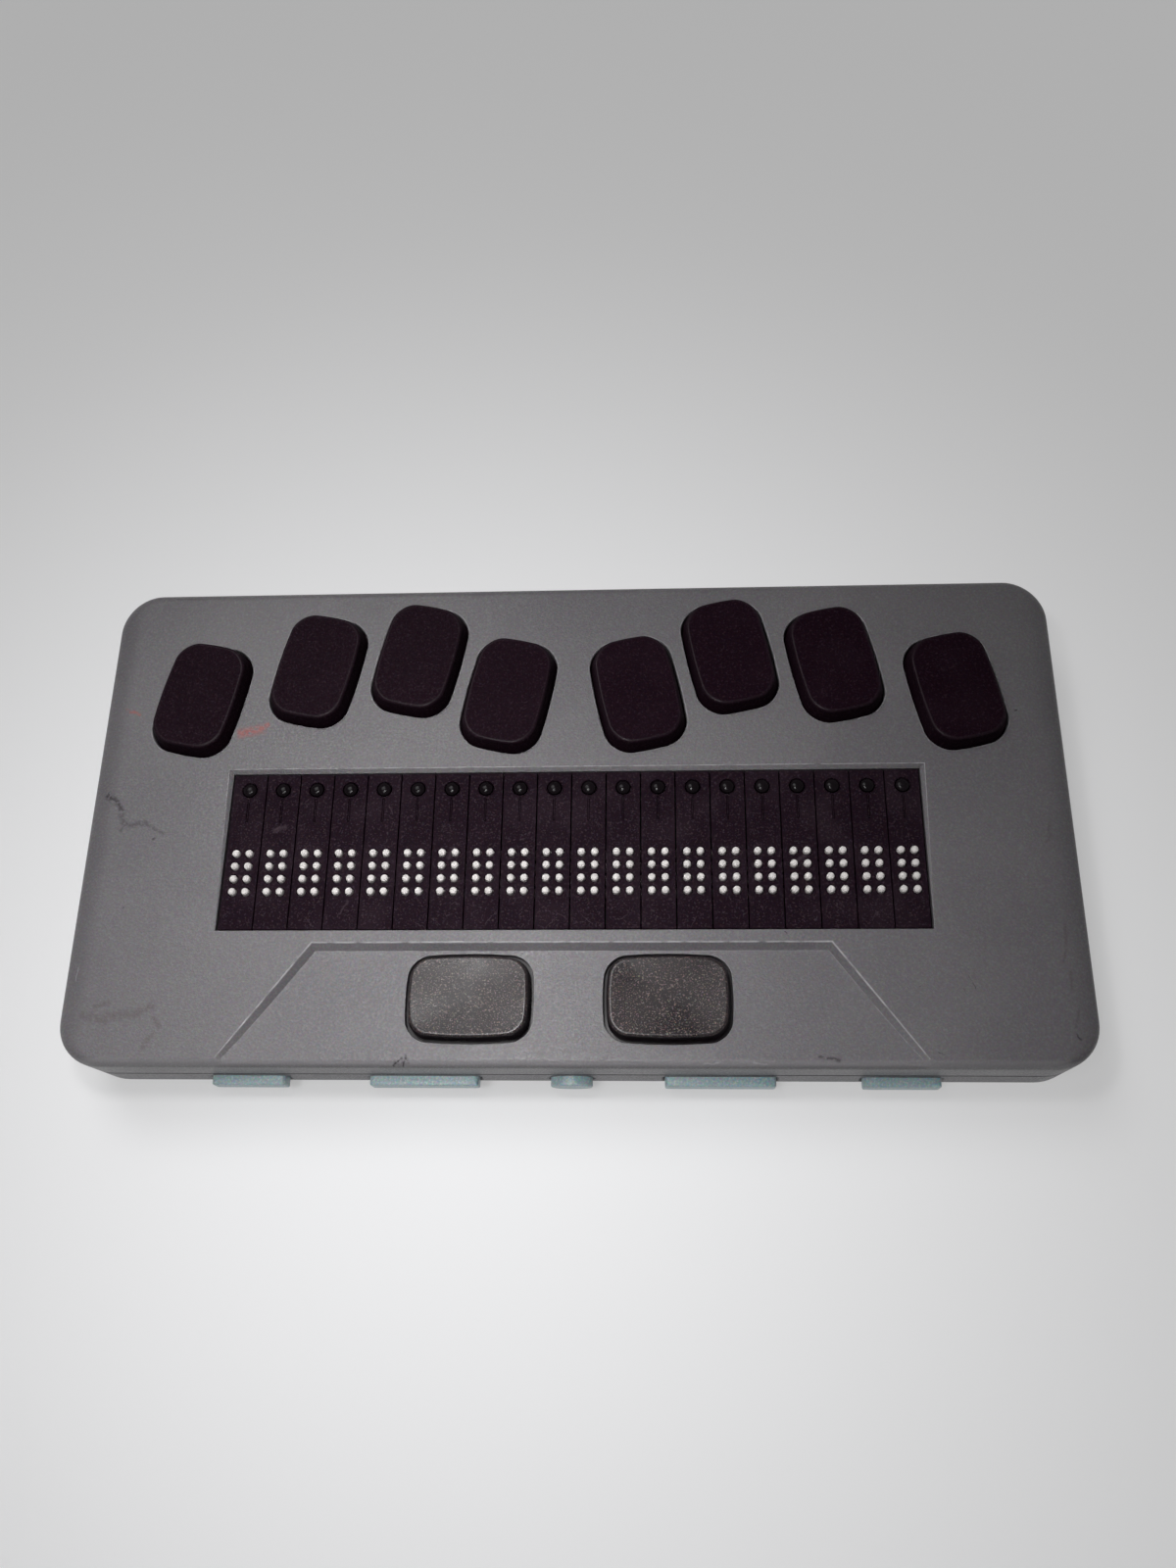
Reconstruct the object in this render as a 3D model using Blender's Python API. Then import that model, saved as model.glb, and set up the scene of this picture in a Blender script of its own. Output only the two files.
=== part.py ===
# Refreshable braille display with twenty cells, eight braille keys, two space keys and five thumb keys.
# Metres, +Z up, the user sits on the -Y side. The origin lies under the middle of the whole object.
import math

import bmesh
import bpy
from mathutils import Matrix, Vector

# Gaps
SEAT_GAP = 0.0003        # between fixed pieces that rest on each other
KEY_GAP = 0.0004         # round a braille key or a space key
SLIDE_GAP = 0.00015      # round a pin or a small button
WINDOW_GAP = 0.00025     # round the braille cells in their window
CUT_OVERRUN = 0.0010     # how far a cutter reaches past what it cuts
JOIN_OVERLAP = 0.0004    # how far shapes that become one solid reach into each other

# Case
SIDE_MARGIN = 0.0273     # from the cells to the case's side
FRONT_MARGIN = 0.0245    # from the cells to the case's front
REAR_MARGIN = 0.0042     # from the rearmost braille key to the case's rear
CASE_CORNER_RADIUS = 0.0082
SIDE_EDGE_RUN = 0.0052   # how far the top rounds off inwards at the sides
REAR_EDGE_RUN = 0.0020
FRONT_EDGE_RUN = 0.0014
TOP_EDGE_DROP = 0.0024
BOTTOM_EDGE_RADIUS = 0.0028
TOP_WALL = 0.0022
SIDE_WALL = 0.0022
FLOOR_WALL = 0.0020
SEAM_HEIGHT = 0.0100     # seam between the two shells, over the underside
POST_RADIUS = 0.0032
POST_INSET = 0.0085
POST_SIDES = 12

# Feet
FOOT_RADIUS = 0.0050
FOOT_PROUD = 0.0008
FOOT_SOCKET_DEPTH = 0.0006
FOOT_INSET = 0.0125
FOOT_SIDES = 16

# Braille cells
CELL_COUNT = 20
CELL_PITCH = 0.00642
CELL_DEPTH = 0.0301
CELL_DROP = 0.0004       # the cells' top under the case's top
CELL_PLATE = 0.0014
CELL_WALL = 0.0012
CELL_GROOVE_WIDTH = 0.0002
CELL_GROOVE_DEPTH = 0.0003
DOT_PITCH = 0.00245
DOT_ROWS = 4
DOT_SIDES = 6
DOT_RADIUS = 0.00075
DOT_TRAVEL = 0.0007
DOTS_FROM_CELL_FRONT = 0.0108
DOT_BAR_HEIGHT = 0.0008
DOT_BAR_WIDTH = 0.0017
WINDOW_BEVEL = 0.0010

# Cursor routing buttons
ROUTER_RADIUS = 0.0015
ROUTER_SIDES = 8
ROUTER_PROUD = 0.0007
ROUTER_TRAVEL = 0.0006
ROUTER_LENGTH = 0.0038
ROUTER_CROWN_SHARE = 0.5
ROUTER_FROM_CELL_REAR = 0.0031
SLIT_WIDTH = 0.00025
SLIT_LENGTH = 0.0048
SLIT_DEPTH = 0.0004

# Braille keys and space keys
KEY_WIDTH = 0.0156
KEY_LENGTH = 0.0227
KEY_CORNER_RADIUS = 0.0044
KEY_BULGE = 0.0003
KEY_PROUD = 0.0027
KEY_DRAFT = 0.0008
KEY_EDGE = 0.0003
KEY_TRAVEL = 0.0018
KEY_FLANGE = 0.0009      # how far the flange reaches past the key
KEY_FLANGE_HEIGHT = 0.0010
KEY_TURN_SHARE = 12 / 360  # of a whole turn
KEY_TO_WINDOW = 0.0038   # from the cells to the front of the lowest keys
KEY_ACROSS_SHARES = {"dot_1": -0.1355, "dot_2": -0.3284, "dot_3": -0.5448, "dot_7": -0.7891}
KEY_ARCH = 0.0078        # how far the middle finger's key lies behind the index finger's
KEY_ARCH_SHARES = {"dot_1": 0.02, "dot_2": 1.0, "dot_3": 0.75, "dot_7": 0.0}
MIRROR_DOTS = {"dot_1": "dot_4", "dot_2": "dot_5", "dot_3": "dot_6", "dot_7": "dot_8"}
SPACE_WIDTH = 0.0216
SPACE_DEPTH = 0.0149
SPACE_PROUD = 0.0021
SPACE_ACROSS = 0.0175    # from the middle of the case to a space key's centre
SPACE_FROM_CELLS = 0.0125
STEM_SIDE = 0.0028
SWITCH_SIDE = 0.0060
CORNER_STEPS = 3

# Trapezoid recess round the space keys
PANEL_DROP = 0.0011
PANEL_BAND = 0.0014      # run of the sloping wall at its deepest
PANEL_REAR_HALF = 0.0465
PANEL_FRONT_HALF = 0.0618
PANEL_FROM_CELLS = 0.0029

# Thumb keys in the front wall
THUMB_HEIGHT = 0.0038
THUMB_PROUD = 0.0016
THUMB_EDGE = 0.0004
THUMB_TRAVEL = 0.0010
THUMB_FLANGE = 0.0006
THUMB_FLANGE_DEPTH = 0.0008
THUMB_LEVEL_SHARE = 0.45   # of the way from the case's floor up to the seam
HOME_WIDTH = 0.0076
HOME_HEIGHT = 0.0052
HOME_SIDES = 16
THUMB_LONG_WIDTH = 0.0199
THUMB_SHORT_WIDTH = 0.0137
THUMB_LONG_ACROSS_SHARE = 0.293    # of half the case's width
THUMB_SHORT_ACROSS_SHARE = 0.646

# Main board
BOARD_THICK = 0.0012
BOARD_GAP = 0.0013       # board to the case's side walls
BOARD_CORNER_NOTCH = 0.0135
THUMB_SWITCH_DEPTH = 0.0040

# Battery
BATTERY_WIDTH = 0.0600
BATTERY_DEPTH = 0.0340
BATTERY_CORNER = 0.0020
BAY_WALL = 0.0012
BAY_FROM_REAR = 0.0075   # from the case's rear to the battery cover
COVER_THICK = 0.0016
COVER_LEDGE = 0.0026
COVER_SCREW_LEDGE = 0.0090
COVER_CORNER = 0.0030
SCREW_ACROSS_SHARE = 0.36  # of the cover's width
SCREW_HEAD_RADIUS = 0.0024
SCREW_HEAD_HEIGHT = 0.0010
SCREW_RADIUS = 0.0010
SCREW_LENGTH = 0.0050
SCREW_SLOT_WIDTH = 0.0006
SCREW_SLOT_DEPTH = 0.0005
SCREW_CROSS_SHARE = 0.62   # of the head's radius
SCREW_SIDES = 12

# Sockets and small controls
SHELL = 0.0005
USB_C_WIDTH = 0.0091
USB_C_HEIGHT = 0.0033
USB_C_DEPTH = 0.0075
USB_A_WIDTH = 0.0136
USB_A_HEIGHT = 0.0052
USB_A_DEPTH = 0.0140
TONGUE_CLEAR = 0.0012
TONGUE_THICK = 0.0008
JACK_WIDTH = 0.0062
JACK_HEIGHT = 0.0048
JACK_DEPTH = 0.0120
JACK_BORE = 0.0018
CARD_WIDTH = 0.0142
CARD_HEIGHT = 0.0018
CARD_DEPTH = 0.0150
CARD_SLOT_HEIGHT = 0.0008
SOCKET_INSET = 0.0003    # a socket's mouth behind the case's wall
JACK_SIDES = 16
BUTTON_LENGTH = 0.0085
BUTTON_HEIGHT = 0.0030
BUTTON_FLANGE = 0.0006
BUTTON_FLANGE_DEPTH = 0.0006
LIGHT_RADIUS = 0.0010
LIGHT_LENGTH = 0.0040
LIGHT_SIDES = 12
# Places along a side wall, as shares of half the case's depth from its middle
USB_A_SHARE = -0.52
POWER_SHARE = -0.10
LIGHT_SHARE = 0.08
USB_C_SHARE = 0.34
VOLUME_UP_SHARE = 0.10
VOLUME_DOWN_SHARE = -0.18
JACK_SHARE = -0.56

# Worked out from the sizes above
CELLS_WIDTH = CELL_COUNT * CELL_PITCH
CASE_WIDTH = CELLS_WIDTH + 2 * SIDE_MARGIN
KEY_TURN = KEY_TURN_SHARE * 2 * math.pi
KEY_REACH = KEY_LENGTH / 2 * math.cos(KEY_TURN) + KEY_WIDTH / 4 * math.sin(KEY_TURN)
CASE_DEPTH = FRONT_MARGIN + CELL_DEPTH + KEY_TO_WINDOW + 2 * KEY_REACH + KEY_ARCH + REAR_MARGIN
TOTAL_DEPTH = CASE_DEPTH + THUMB_PROUD
FRONT_Y = -TOTAL_DEPTH / 2 + THUMB_PROUD
REAR_Y = TOTAL_DEPTH / 2
MIDDLE_Y = (FRONT_Y + REAR_Y) / 2
CELLS_FRONT_Y = FRONT_Y + FRONT_MARGIN
CELLS_REAR_Y = CELLS_FRONT_Y + CELL_DEPTH
DOTS_Y = CELLS_FRONT_Y + DOTS_FROM_CELL_FRONT
ROUTER_Y = CELLS_REAR_Y - ROUTER_FROM_CELL_REAR
UNDER_Z = FOOT_PROUD
FLOOR_Z = UNDER_Z + FLOOR_WALL
PARTING_Z = UNDER_Z + SEAM_HEIGHT
BOARD_LOW_Z = PARTING_Z
BOARD_TOP_Z = BOARD_LOW_Z + BOARD_THICK
STEM_LOW_Z = BOARD_TOP_Z + SEAT_GAP + KEY_TRAVEL
SWITCH_TOP_Z = STEM_LOW_Z + SEAT_GAP
FLANGE_LOW_Z = SWITCH_TOP_Z + SEAT_GAP + KEY_TRAVEL
FLANGE_TOP_Z = FLANGE_LOW_Z + KEY_FLANGE_HEIGHT
CEILING_Z = FLANGE_TOP_Z + SEAT_GAP
TOP_Z = CEILING_Z + TOP_WALL
USB_A_TOP_Z = BOARD_LOW_Z - SEAT_GAP
USB_A_LOW_Z = USB_A_TOP_Z - USB_A_HEIGHT
CELLS_TOP_Z = TOP_Z - CELL_DROP
CELLS_LOW_Z = BOARD_TOP_Z + SEAT_GAP + BOARD_THICK + SEAT_GAP
DOT_BAR_TOP_Z = CELLS_TOP_Z - CELL_PLATE - SEAT_GAP
DOT_BAR_LOW_Z = DOT_BAR_TOP_Z - DOT_BAR_HEIGHT
THUMB_MID_Z = FLOOR_Z + THUMB_LEVEL_SHARE * (PARTING_Z - FLOOR_Z)
THUMB_STOP_Y = FRONT_Y + SIDE_WALL + SEAT_GAP + THUMB_FLANGE_DEPTH + THUMB_TRAVEL + SEAT_GAP
COVER_WIDTH = BATTERY_WIDTH + 2 * SEAT_GAP + 2 * COVER_LEDGE
COVER_DEPTH = BATTERY_DEPTH + 2 * SEAT_GAP + COVER_LEDGE + COVER_SCREW_LEDGE
COVER_REAR_Y = REAR_Y - BAY_FROM_REAR
COVER_FRONT_Y = COVER_REAR_Y - COVER_DEPTH
COVER_TOP_Z = UNDER_Z + COVER_THICK
BATTERY_REAR_Y = COVER_REAR_Y - COVER_LEDGE - SEAT_GAP
BATTERY_FRONT_Y = BATTERY_REAR_Y - BATTERY_DEPTH
BAY_TOP_Z = BOARD_LOW_Z - SEAT_GAP
BATTERY_TOP_Z = BAY_TOP_Z - BAY_WALL - SEAT_GAP
SCREW_Y = COVER_FRONT_Y + COVER_SCREW_LEDGE / 2
SOCKET_LOW_Z = BOARD_TOP_Z + SEAT_GAP
CONTROL_Z = SOCKET_LOW_Z + BUTTON_FLANGE + BUTTON_HEIGHT / 2

COLOURS = {
    "case_grey": ((0.200, 0.192, 0.205), 0.55, 0.0),
    "key_black": ((0.018, 0.012, 0.017), 0.50, 0.0),
    "cell_black": ((0.022, 0.017, 0.021), 0.60, 0.0),
    "dot_white": ((0.800, 0.780, 0.760), 0.35, 0.0),
    "router_black": ((0.012, 0.010, 0.012), 0.20, 0.0),
    "thumb_teal": ((0.110, 0.260, 0.290), 0.50, 0.0),
    "base_grey": ((0.120, 0.116, 0.124), 0.60, 0.0),
    "board_green": ((0.020, 0.110, 0.055), 0.50, 0.0),
    "battery_wrap": ((0.030, 0.045, 0.090), 0.45, 0.0),
    "foot_rubber": ((0.020, 0.020, 0.020), 0.85, 0.0),
    "steel": ((0.550, 0.550, 0.560), 0.35, 1.0),
    "light_pipe": ((0.100, 0.550, 0.150), 0.25, 0.0),
}


def clear_scene():
    for obj in list(bpy.data.objects):
        bpy.data.objects.remove(obj, do_unlink=True)


def material(name):
    """One Principled material for each finish, made once."""
    if name in bpy.data.materials:
        return bpy.data.materials[name]
    colour, roughness, metallic = COLOURS[name]
    made = bpy.data.materials.new(name)
    made.use_nodes = True
    shader = made.node_tree.nodes["Principled BSDF"]
    shader.inputs["Base Color"].default_value = (*colour, 1.0)
    shader.inputs["Roughness"].default_value = roughness
    shader.inputs["Metallic"].default_value = metallic
    return made


def mesh_object(name, build, finish=None):
    """An object whose mesh comes from build(bm). Without a finish it is a cutter or a helper."""
    bm = bmesh.new()
    build(bm)
    bmesh.ops.recalc_face_normals(bm, faces=bm.faces)
    mesh = bpy.data.meshes.new(name)
    bm.to_mesh(mesh)
    bm.free()
    obj = bpy.data.objects.new(name, mesh)
    bpy.context.scene.collection.objects.link(obj)
    if finish:
        mesh.materials.append(material(finish))
    else:
        obj.hide_render = True
        obj.display_type = "WIRE"
    return obj


def add_loft(bm, rings, tip=None):
    """A closed solid through rings of equally many points, from the lowest up, which may end in a tip."""
    rows = [[bm.verts.new(point) for point in ring] for ring in rings]
    count = len(rows[0])
    for low, high in zip(rows, rows[1:]):
        for i in range(count):
            j = (i + 1) % count
            bm.faces.new((low[i], low[j], high[j], high[i]))
    bm.faces.new(list(reversed(rows[0])))
    if tip is None:
        bm.faces.new(rows[-1])
        return
    point = bm.verts.new(tip)
    for i in range(count):
        bm.faces.new((rows[-1][i], rows[-1][(i + 1) % count], point))


def add_box(bm, low, high):
    x0, y0, z0 = low
    x1, y1, z1 = high
    outline = ((x0, y0), (x1, y0), (x1, y1), (x0, y1))
    add_loft(bm, [[(x, y, z) for x, y in outline] for z in (z0, z1)])


def round_outline(radius, sides):
    """A regular polygon with flat sides facing +X and -X, its corners on the circle."""
    turns = ((i + 0.5) * 2 * math.pi / sides for i in range(sides))
    return [(radius * math.cos(a), radius * math.sin(a)) for a in turns]


def soft_outline(width, depth, radius, bulge=0.0, steps=CORNER_STEPS):
    """A rectangle with round corners, whose four sides may swell out by the bulge."""
    half_w, half_d = width / 2, depth / 2
    radius = min(radius, half_w - bulge, half_d - bulge)
    corners = ((1, 1, 0), (-1, 1, 1), (-1, -1, 2), (1, -1, 3))
    middles = ((0, half_d), (-half_w, 0), (0, -half_d), (half_w, 0))
    points = []
    for (sx, sy, quarter), middle in zip(corners, middles):
        cx = sx * (half_w - bulge - radius)
        cy = sy * (half_d - bulge - radius)
        for i in range(steps + 1):
            turn = (quarter + i / steps) * math.pi / 2
            points.append((cx + radius * math.cos(turn), cy + radius * math.sin(turn)))
        if bulge:
            points.append(middle)
    return points


def at_height(outline, z, x=0.0, y=0.0, turn=0.0):
    """An outline as a ring of points, turned about its own middle and moved into place."""
    c, s = math.cos(turn), math.sin(turn)
    return [(x + c * px - s * py, y + s * px + c * py, z) for px, py in outline]


def boolean(target, tool, operation, name):
    modifier = target.modifiers.new(name, "BOOLEAN")
    modifier.operation = operation
    modifier.object = tool
    modifier.solver = "EXACT"
    tool.hide_render = True
    tool.display_type = "WIRE"


def smooth(obj, angle=math.radians(40)):
    obj.data.shade_smooth()
    obj.data.set_sharp_from_angle(angle=angle)


# Case shells
def case_outline(side_inset, front_inset, rear_inset):
    """The case seen from above, drawn in by its own amount on each side."""
    inset = max(side_inset, front_inset, rear_inset)
    radius = max(CASE_CORNER_RADIUS - inset, CASE_CORNER_RADIUS / 4)
    width = CASE_WIDTH - 2 * side_inset
    depth = CASE_DEPTH - front_inset - rear_inset
    middle = MIDDLE_Y + (front_inset - rear_inset) / 2
    return [(x, middle + y) for x, y in soft_outline(width, depth, radius, steps=5)]


def wall_outline(inset):
    return case_outline(inset, inset, inset)


def top_case_rings():
    """Straight walls from the seam up, then a quarter of an ellipse that is wider at the sides."""
    rings = [at_height(wall_outline(0), PARTING_Z + SEAT_GAP)]
    steps = 4
    for i in range(steps + 1):
        turn = i / steps * math.pi / 2
        run = 1 - math.cos(turn)
        z = TOP_Z - TOP_EDGE_DROP * (1 - math.sin(turn))
        outline = case_outline(SIDE_EDGE_RUN * run, FRONT_EDGE_RUN * run, REAR_EDGE_RUN * run)
        rings.append(at_height(outline, z))
    return rings


def bottom_case_rings():
    rings = []
    steps = 3
    for i in range(steps + 1):
        turn = i / steps * math.pi / 2
        inset = BOTTOM_EDGE_RADIUS * (1 - math.sin(turn))
        z = UNDER_Z + BOTTOM_EDGE_RADIUS * (1 - math.cos(turn))
        rings.append(at_height(wall_outline(inset), z))
    rings.append(at_height(wall_outline(0), PARTING_Z))
    return rings


def key_places():
    """Name, x, y and turn of each of the eight braille keys, the left hand's and their mirror images."""
    places = []
    for name, across in KEY_ACROSS_SHARES.items():
        x = across * CASE_WIDTH / 2
        y = CELLS_REAR_Y + KEY_TO_WINDOW + KEY_REACH + KEY_ARCH * KEY_ARCH_SHARES[name]
        places.append((name + "_key", x, y, -KEY_TURN))
        places.append((MIRROR_DOTS[name] + "_key", -x, y, KEY_TURN))
    return places


def space_places():
    y = CELLS_FRONT_Y - SPACE_FROM_CELLS
    return [("space_left_key", -SPACE_ACROSS, y, 0.0), ("space_right_key", SPACE_ACROSS, y, 0.0)]


def thumb_places():
    """Name, x and width of the five thumb keys. A width of zero is the oval home key."""
    short_x = THUMB_SHORT_ACROSS_SHARE * CASE_WIDTH / 2
    long_x = THUMB_LONG_ACROSS_SHARE * CASE_WIDTH / 2
    return [
        ("thumb_previous_key", -short_x, THUMB_SHORT_WIDTH),
        ("thumb_left_key", -long_x, THUMB_LONG_WIDTH),
        ("thumb_home_key", 0.0, 0.0),
        ("thumb_right_key", long_x, THUMB_LONG_WIDTH),
        ("thumb_next_key", short_x, THUMB_SHORT_WIDTH),
    ]


def panel_floor_z(y):
    """Height of the recess floor, which climbs from its rear line to the case's front edge."""
    rear = CELLS_FRONT_Y - PANEL_FROM_CELLS - PANEL_BAND
    front = FRONT_Y + FRONT_EDGE_RUN / 2
    return TOP_Z - PANEL_DROP * (y - front) / (rear - front)


def add_panel(bm):
    """The space over the sloping floor, between a sloping rear wall and two side walls that run out."""
    rear_top = CELLS_FRONT_Y - PANEL_FROM_CELLS
    rear = Vector((PANEL_REAR_HALF - PANEL_BAND, rear_top - PANEL_BAND, TOP_Z - PANEL_DROP))
    rim = Vector((PANEL_REAR_HALF, rear_top, TOP_Z))
    front = Vector((PANEL_FRONT_HALF, FRONT_Y + FRONT_EDGE_RUN / 2, TOP_Z))
    reach = (PANEL_DROP + CUT_OVERRUN) / PANEL_DROP
    rim_out = rear + (rim - rear) * reach
    front_out = rear + (front - rear) * reach
    right = [rear, rim_out, front_out]
    verts = [bm.verts.new(point) for point in right]
    verts += [bm.verts.new((-point.x, point.y, point.z)) for point in right]
    for face in ((0, 2, 5, 3), (0, 3, 4, 1), (1, 4, 5, 2), (0, 1, 2), (3, 5, 4)):
        bm.faces.new([verts[i] for i in face])


def add_window(bm):
    """The hole for the cells, with a bevel at the rear and sides that fades out towards the front."""
    half = CELLS_WIDTH / 2 + WINDOW_GAP
    front, rear = CELLS_FRONT_Y - WINDOW_GAP, CELLS_REAR_Y + WINDOW_GAP
    add_box(bm, (-half, front, CEILING_Z - CUT_OVERRUN), (half, rear, TOP_Z + CUT_OVERRUN))


def add_window_bevel(bm):
    """Three sloping planes: one behind the window, and one at each side that runs out towards the front."""
    half = CELLS_WIDTH / 2 + WINDOW_GAP
    front, rear = CELLS_FRONT_Y, CELLS_REAR_Y + WINDOW_GAP
    rings = []
    for rise in (-WINDOW_BEVEL - CUT_OVERRUN, CUT_OVERRUN):
        back = rear + WINDOW_BEVEL + rise
        wide = half + rise + WINDOW_BEVEL * (back - front) / (rear - front)
        narrow = half + rise
        outline = [(-narrow, front), (narrow, front), (wide, back), (-wide, back)]
        rings.append([(x, y, TOP_Z + rise) for x, y in outline])
    add_loft(bm, rings)


def add_key_holes(bm):
    for places, width, length in (
        (key_places(), KEY_WIDTH, KEY_LENGTH),
        (space_places(), SPACE_WIDTH, SPACE_DEPTH),
    ):
        outline = soft_outline(
            width + 2 * KEY_GAP, length + 2 * KEY_GAP, KEY_CORNER_RADIUS + KEY_GAP, KEY_BULGE
        )
        for _, x, y, turn in places:
            low, high = CEILING_Z - CUT_OVERRUN, TOP_Z + CUT_OVERRUN
            add_loft(bm, [at_height(outline, z, x, y, turn) for z in (low, high)])


def side_hole(bm, side, y, width, low_z, high_z):
    """A square-edged opening through a side wall. side is -1 at the left and 1 at the right."""
    outer = side * (CASE_WIDTH / 2 + CUT_OVERRUN)
    inner = side * (CASE_WIDTH / 2 - SIDE_WALL - CUT_OVERRUN)
    add_box(bm, (min(outer, inner), y - width / 2, low_z), (max(outer, inner), y + width / 2, high_z))


def along_side(share):
    return MIDDLE_Y + share * CASE_DEPTH / 2


def small_controls():
    """Name, side and y of the three small push buttons in the side walls."""
    return [
        ("power_button", -1, along_side(POWER_SHARE)),
        ("volume_up_button", 1, along_side(VOLUME_UP_SHARE)),
        ("volume_down_button", 1, along_side(VOLUME_DOWN_SHARE)),
    ]


def add_top_ports(bm):
    """Openings in the upper shell for the sockets and controls that stand on the board."""
    gap = SEAT_GAP
    usb_c_top = SOCKET_LOW_Z + USB_C_HEIGHT
    side_hole(bm, -1, along_side(USB_C_SHARE), USB_C_WIDTH + 2 * gap, SOCKET_LOW_Z - gap, usb_c_top + gap)
    jack_top = SOCKET_LOW_Z + JACK_HEIGHT
    side_hole(bm, 1, along_side(JACK_SHARE), JACK_WIDTH + 2 * gap, SOCKET_LOW_Z - gap, jack_top + gap)
    for _, side, y in small_controls():
        half = BUTTON_HEIGHT / 2 + SLIDE_GAP
        side_hole(bm, side, y, BUTTON_LENGTH + 2 * SLIDE_GAP, CONTROL_Z - half, CONTROL_Z + half)
    ring = round_outline(LIGHT_RADIUS + SLIDE_GAP, LIGHT_SIDES)
    ends = (-CASE_WIDTH / 2 - CUT_OVERRUN, -CASE_WIDTH / 2 + SIDE_WALL + CUT_OVERRUN)
    y = along_side(LIGHT_SHARE)
    add_loft(bm, [[(x, y + py, CONTROL_Z + pz) for py, pz in ring] for x in ends])
    card_half = CARD_WIDTH / 2 + gap
    inner, outer = REAR_Y - SIDE_WALL - CUT_OVERRUN, REAR_Y + CUT_OVERRUN
    card_top = SOCKET_LOW_Z + CARD_HEIGHT + gap
    add_box(bm, (-card_half, inner, SOCKET_LOW_Z - gap), (card_half, outer, card_top))


def post_places():
    x = CASE_WIDTH / 2 - POST_INSET
    return [(sx * x, y) for sx in (-1, 1) for y in (FRONT_Y + POST_INSET, REAR_Y - POST_INSET)]


def add_posts(bm, low_z, high_z):
    for x, y in post_places():
        outline = round_outline(POST_RADIUS, POST_SIDES)
        add_loft(bm, [at_height(outline, z, x, y) for z in (low_z, high_z)])


def make_top_case():
    case = mesh_object("top_case", lambda bm: add_loft(bm, top_case_rings()), "case_grey")

    def cavity(bm):
        heights = (PARTING_Z - CUT_OVERRUN, CEILING_Z)
        add_loft(bm, [at_height(wall_outline(SIDE_WALL), z) for z in heights])

    boolean(case, mesh_object("top_case_inside", cavity), "DIFFERENCE", "hollow")
    top_posts = mesh_object(
        "top_case_posts",
        lambda bm: add_posts(bm, PARTING_Z + SEAT_GAP, CEILING_Z + JOIN_OVERLAP),
    )
    boolean(case, top_posts, "UNION", "posts")
    boolean(case, mesh_object("port_cuts", add_top_ports), "DIFFERENCE", "ports")
    boolean(case, mesh_object("panel_cut", add_panel), "DIFFERENCE", "recess")
    boolean(case, mesh_object("key_hole_cuts", add_key_holes), "DIFFERENCE", "key holes")
    boolean(case, mesh_object("window_bevel_cut", add_window_bevel), "DIFFERENCE", "bevel")
    boolean(case, mesh_object("window_cut", add_window), "DIFFERENCE", "window")
    smooth(case)


def make_bottom_case():
    case = mesh_object("bottom_case", lambda bm: add_loft(bm, bottom_case_rings()), "base_grey")

    def cavity(bm):
        heights = (FLOOR_Z, PARTING_Z + CUT_OVERRUN)
        add_loft(bm, [at_height(wall_outline(SIDE_WALL), z) for z in heights])

    def solids(bm):
        add_posts(bm, FLOOR_Z - JOIN_OVERLAP, PARTING_Z)
        half = COVER_WIDTH / 2 + SEAT_GAP
        low = (-half, COVER_FRONT_Y - SEAT_GAP, FLOOR_Z - JOIN_OVERLAP)
        add_box(bm, low, (half, BATTERY_REAR_Y + SEAT_GAP + BAY_WALL, BAY_TOP_Z))

    def bay(bm):
        outline = soft_outline(COVER_WIDTH + 2 * SEAT_GAP, COVER_DEPTH + 2 * SEAT_GAP, COVER_CORNER)
        middle = (COVER_FRONT_Y + COVER_REAR_Y) / 2
        heights = (UNDER_Z - CUT_OVERRUN, COVER_TOP_Z + SEAT_GAP)
        add_loft(bm, [at_height(outline, z, 0.0, middle) for z in heights])

    def battery_room(bm):
        half = BATTERY_WIDTH / 2 + SEAT_GAP
        low = (-half, BATTERY_FRONT_Y - SEAT_GAP, UNDER_Z)
        add_box(bm, low, (half, BATTERY_REAR_Y + SEAT_GAP, BATTERY_TOP_Z + SEAT_GAP))

    def holes(bm):
        for x, y in foot_places():
            outline = round_outline(FOOT_RADIUS + SEAT_GAP, FOOT_SIDES)
            heights = (UNDER_Z - CUT_OVERRUN, UNDER_Z + FOOT_SOCKET_DEPTH)
            add_loft(bm, [at_height(outline, z, x, y) for z in heights])
        for x in screw_xs():
            outline = round_outline(SCREW_RADIUS + SLIDE_GAP, SCREW_SIDES)
            heights = (UNDER_Z, UNDER_Z + SCREW_HEAD_HEIGHT + SCREW_LENGTH + SEAT_GAP)
            add_loft(bm, [at_height(outline, z, x, SCREW_Y) for z in heights])
        width = USB_A_WIDTH + 2 * SEAT_GAP
        side_hole(bm, -1, along_side(USB_A_SHARE), width, USB_A_LOW_Z - SEAT_GAP, PARTING_Z + CUT_OVERRUN)

    def thumb_holes(bm):
        for _, x, width in thumb_places():
            ends = (FRONT_Y - CUT_OVERRUN, FRONT_Y + SIDE_WALL + CUT_OVERRUN)
            rings = [thumb_ring(width, SEAT_GAP, y) for y in ends]
            add_loft(bm, [[(x + px, py, pz) for px, py, pz in ring] for ring in rings])

    boolean(case, mesh_object("bottom_case_inside", cavity), "DIFFERENCE", "hollow")
    boolean(case, mesh_object("bottom_case_solids", solids), "UNION", "posts and bay")
    boolean(case, mesh_object("cover_cut", bay), "DIFFERENCE", "cover seat")
    boolean(case, mesh_object("battery_cut", battery_room), "DIFFERENCE", "battery room")
    boolean(case, mesh_object("bottom_case_holes", holes), "DIFFERENCE", "holes")
    boolean(case, mesh_object("thumb_hole_cuts", thumb_holes), "DIFFERENCE", "thumb holes")
    smooth(case)


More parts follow.
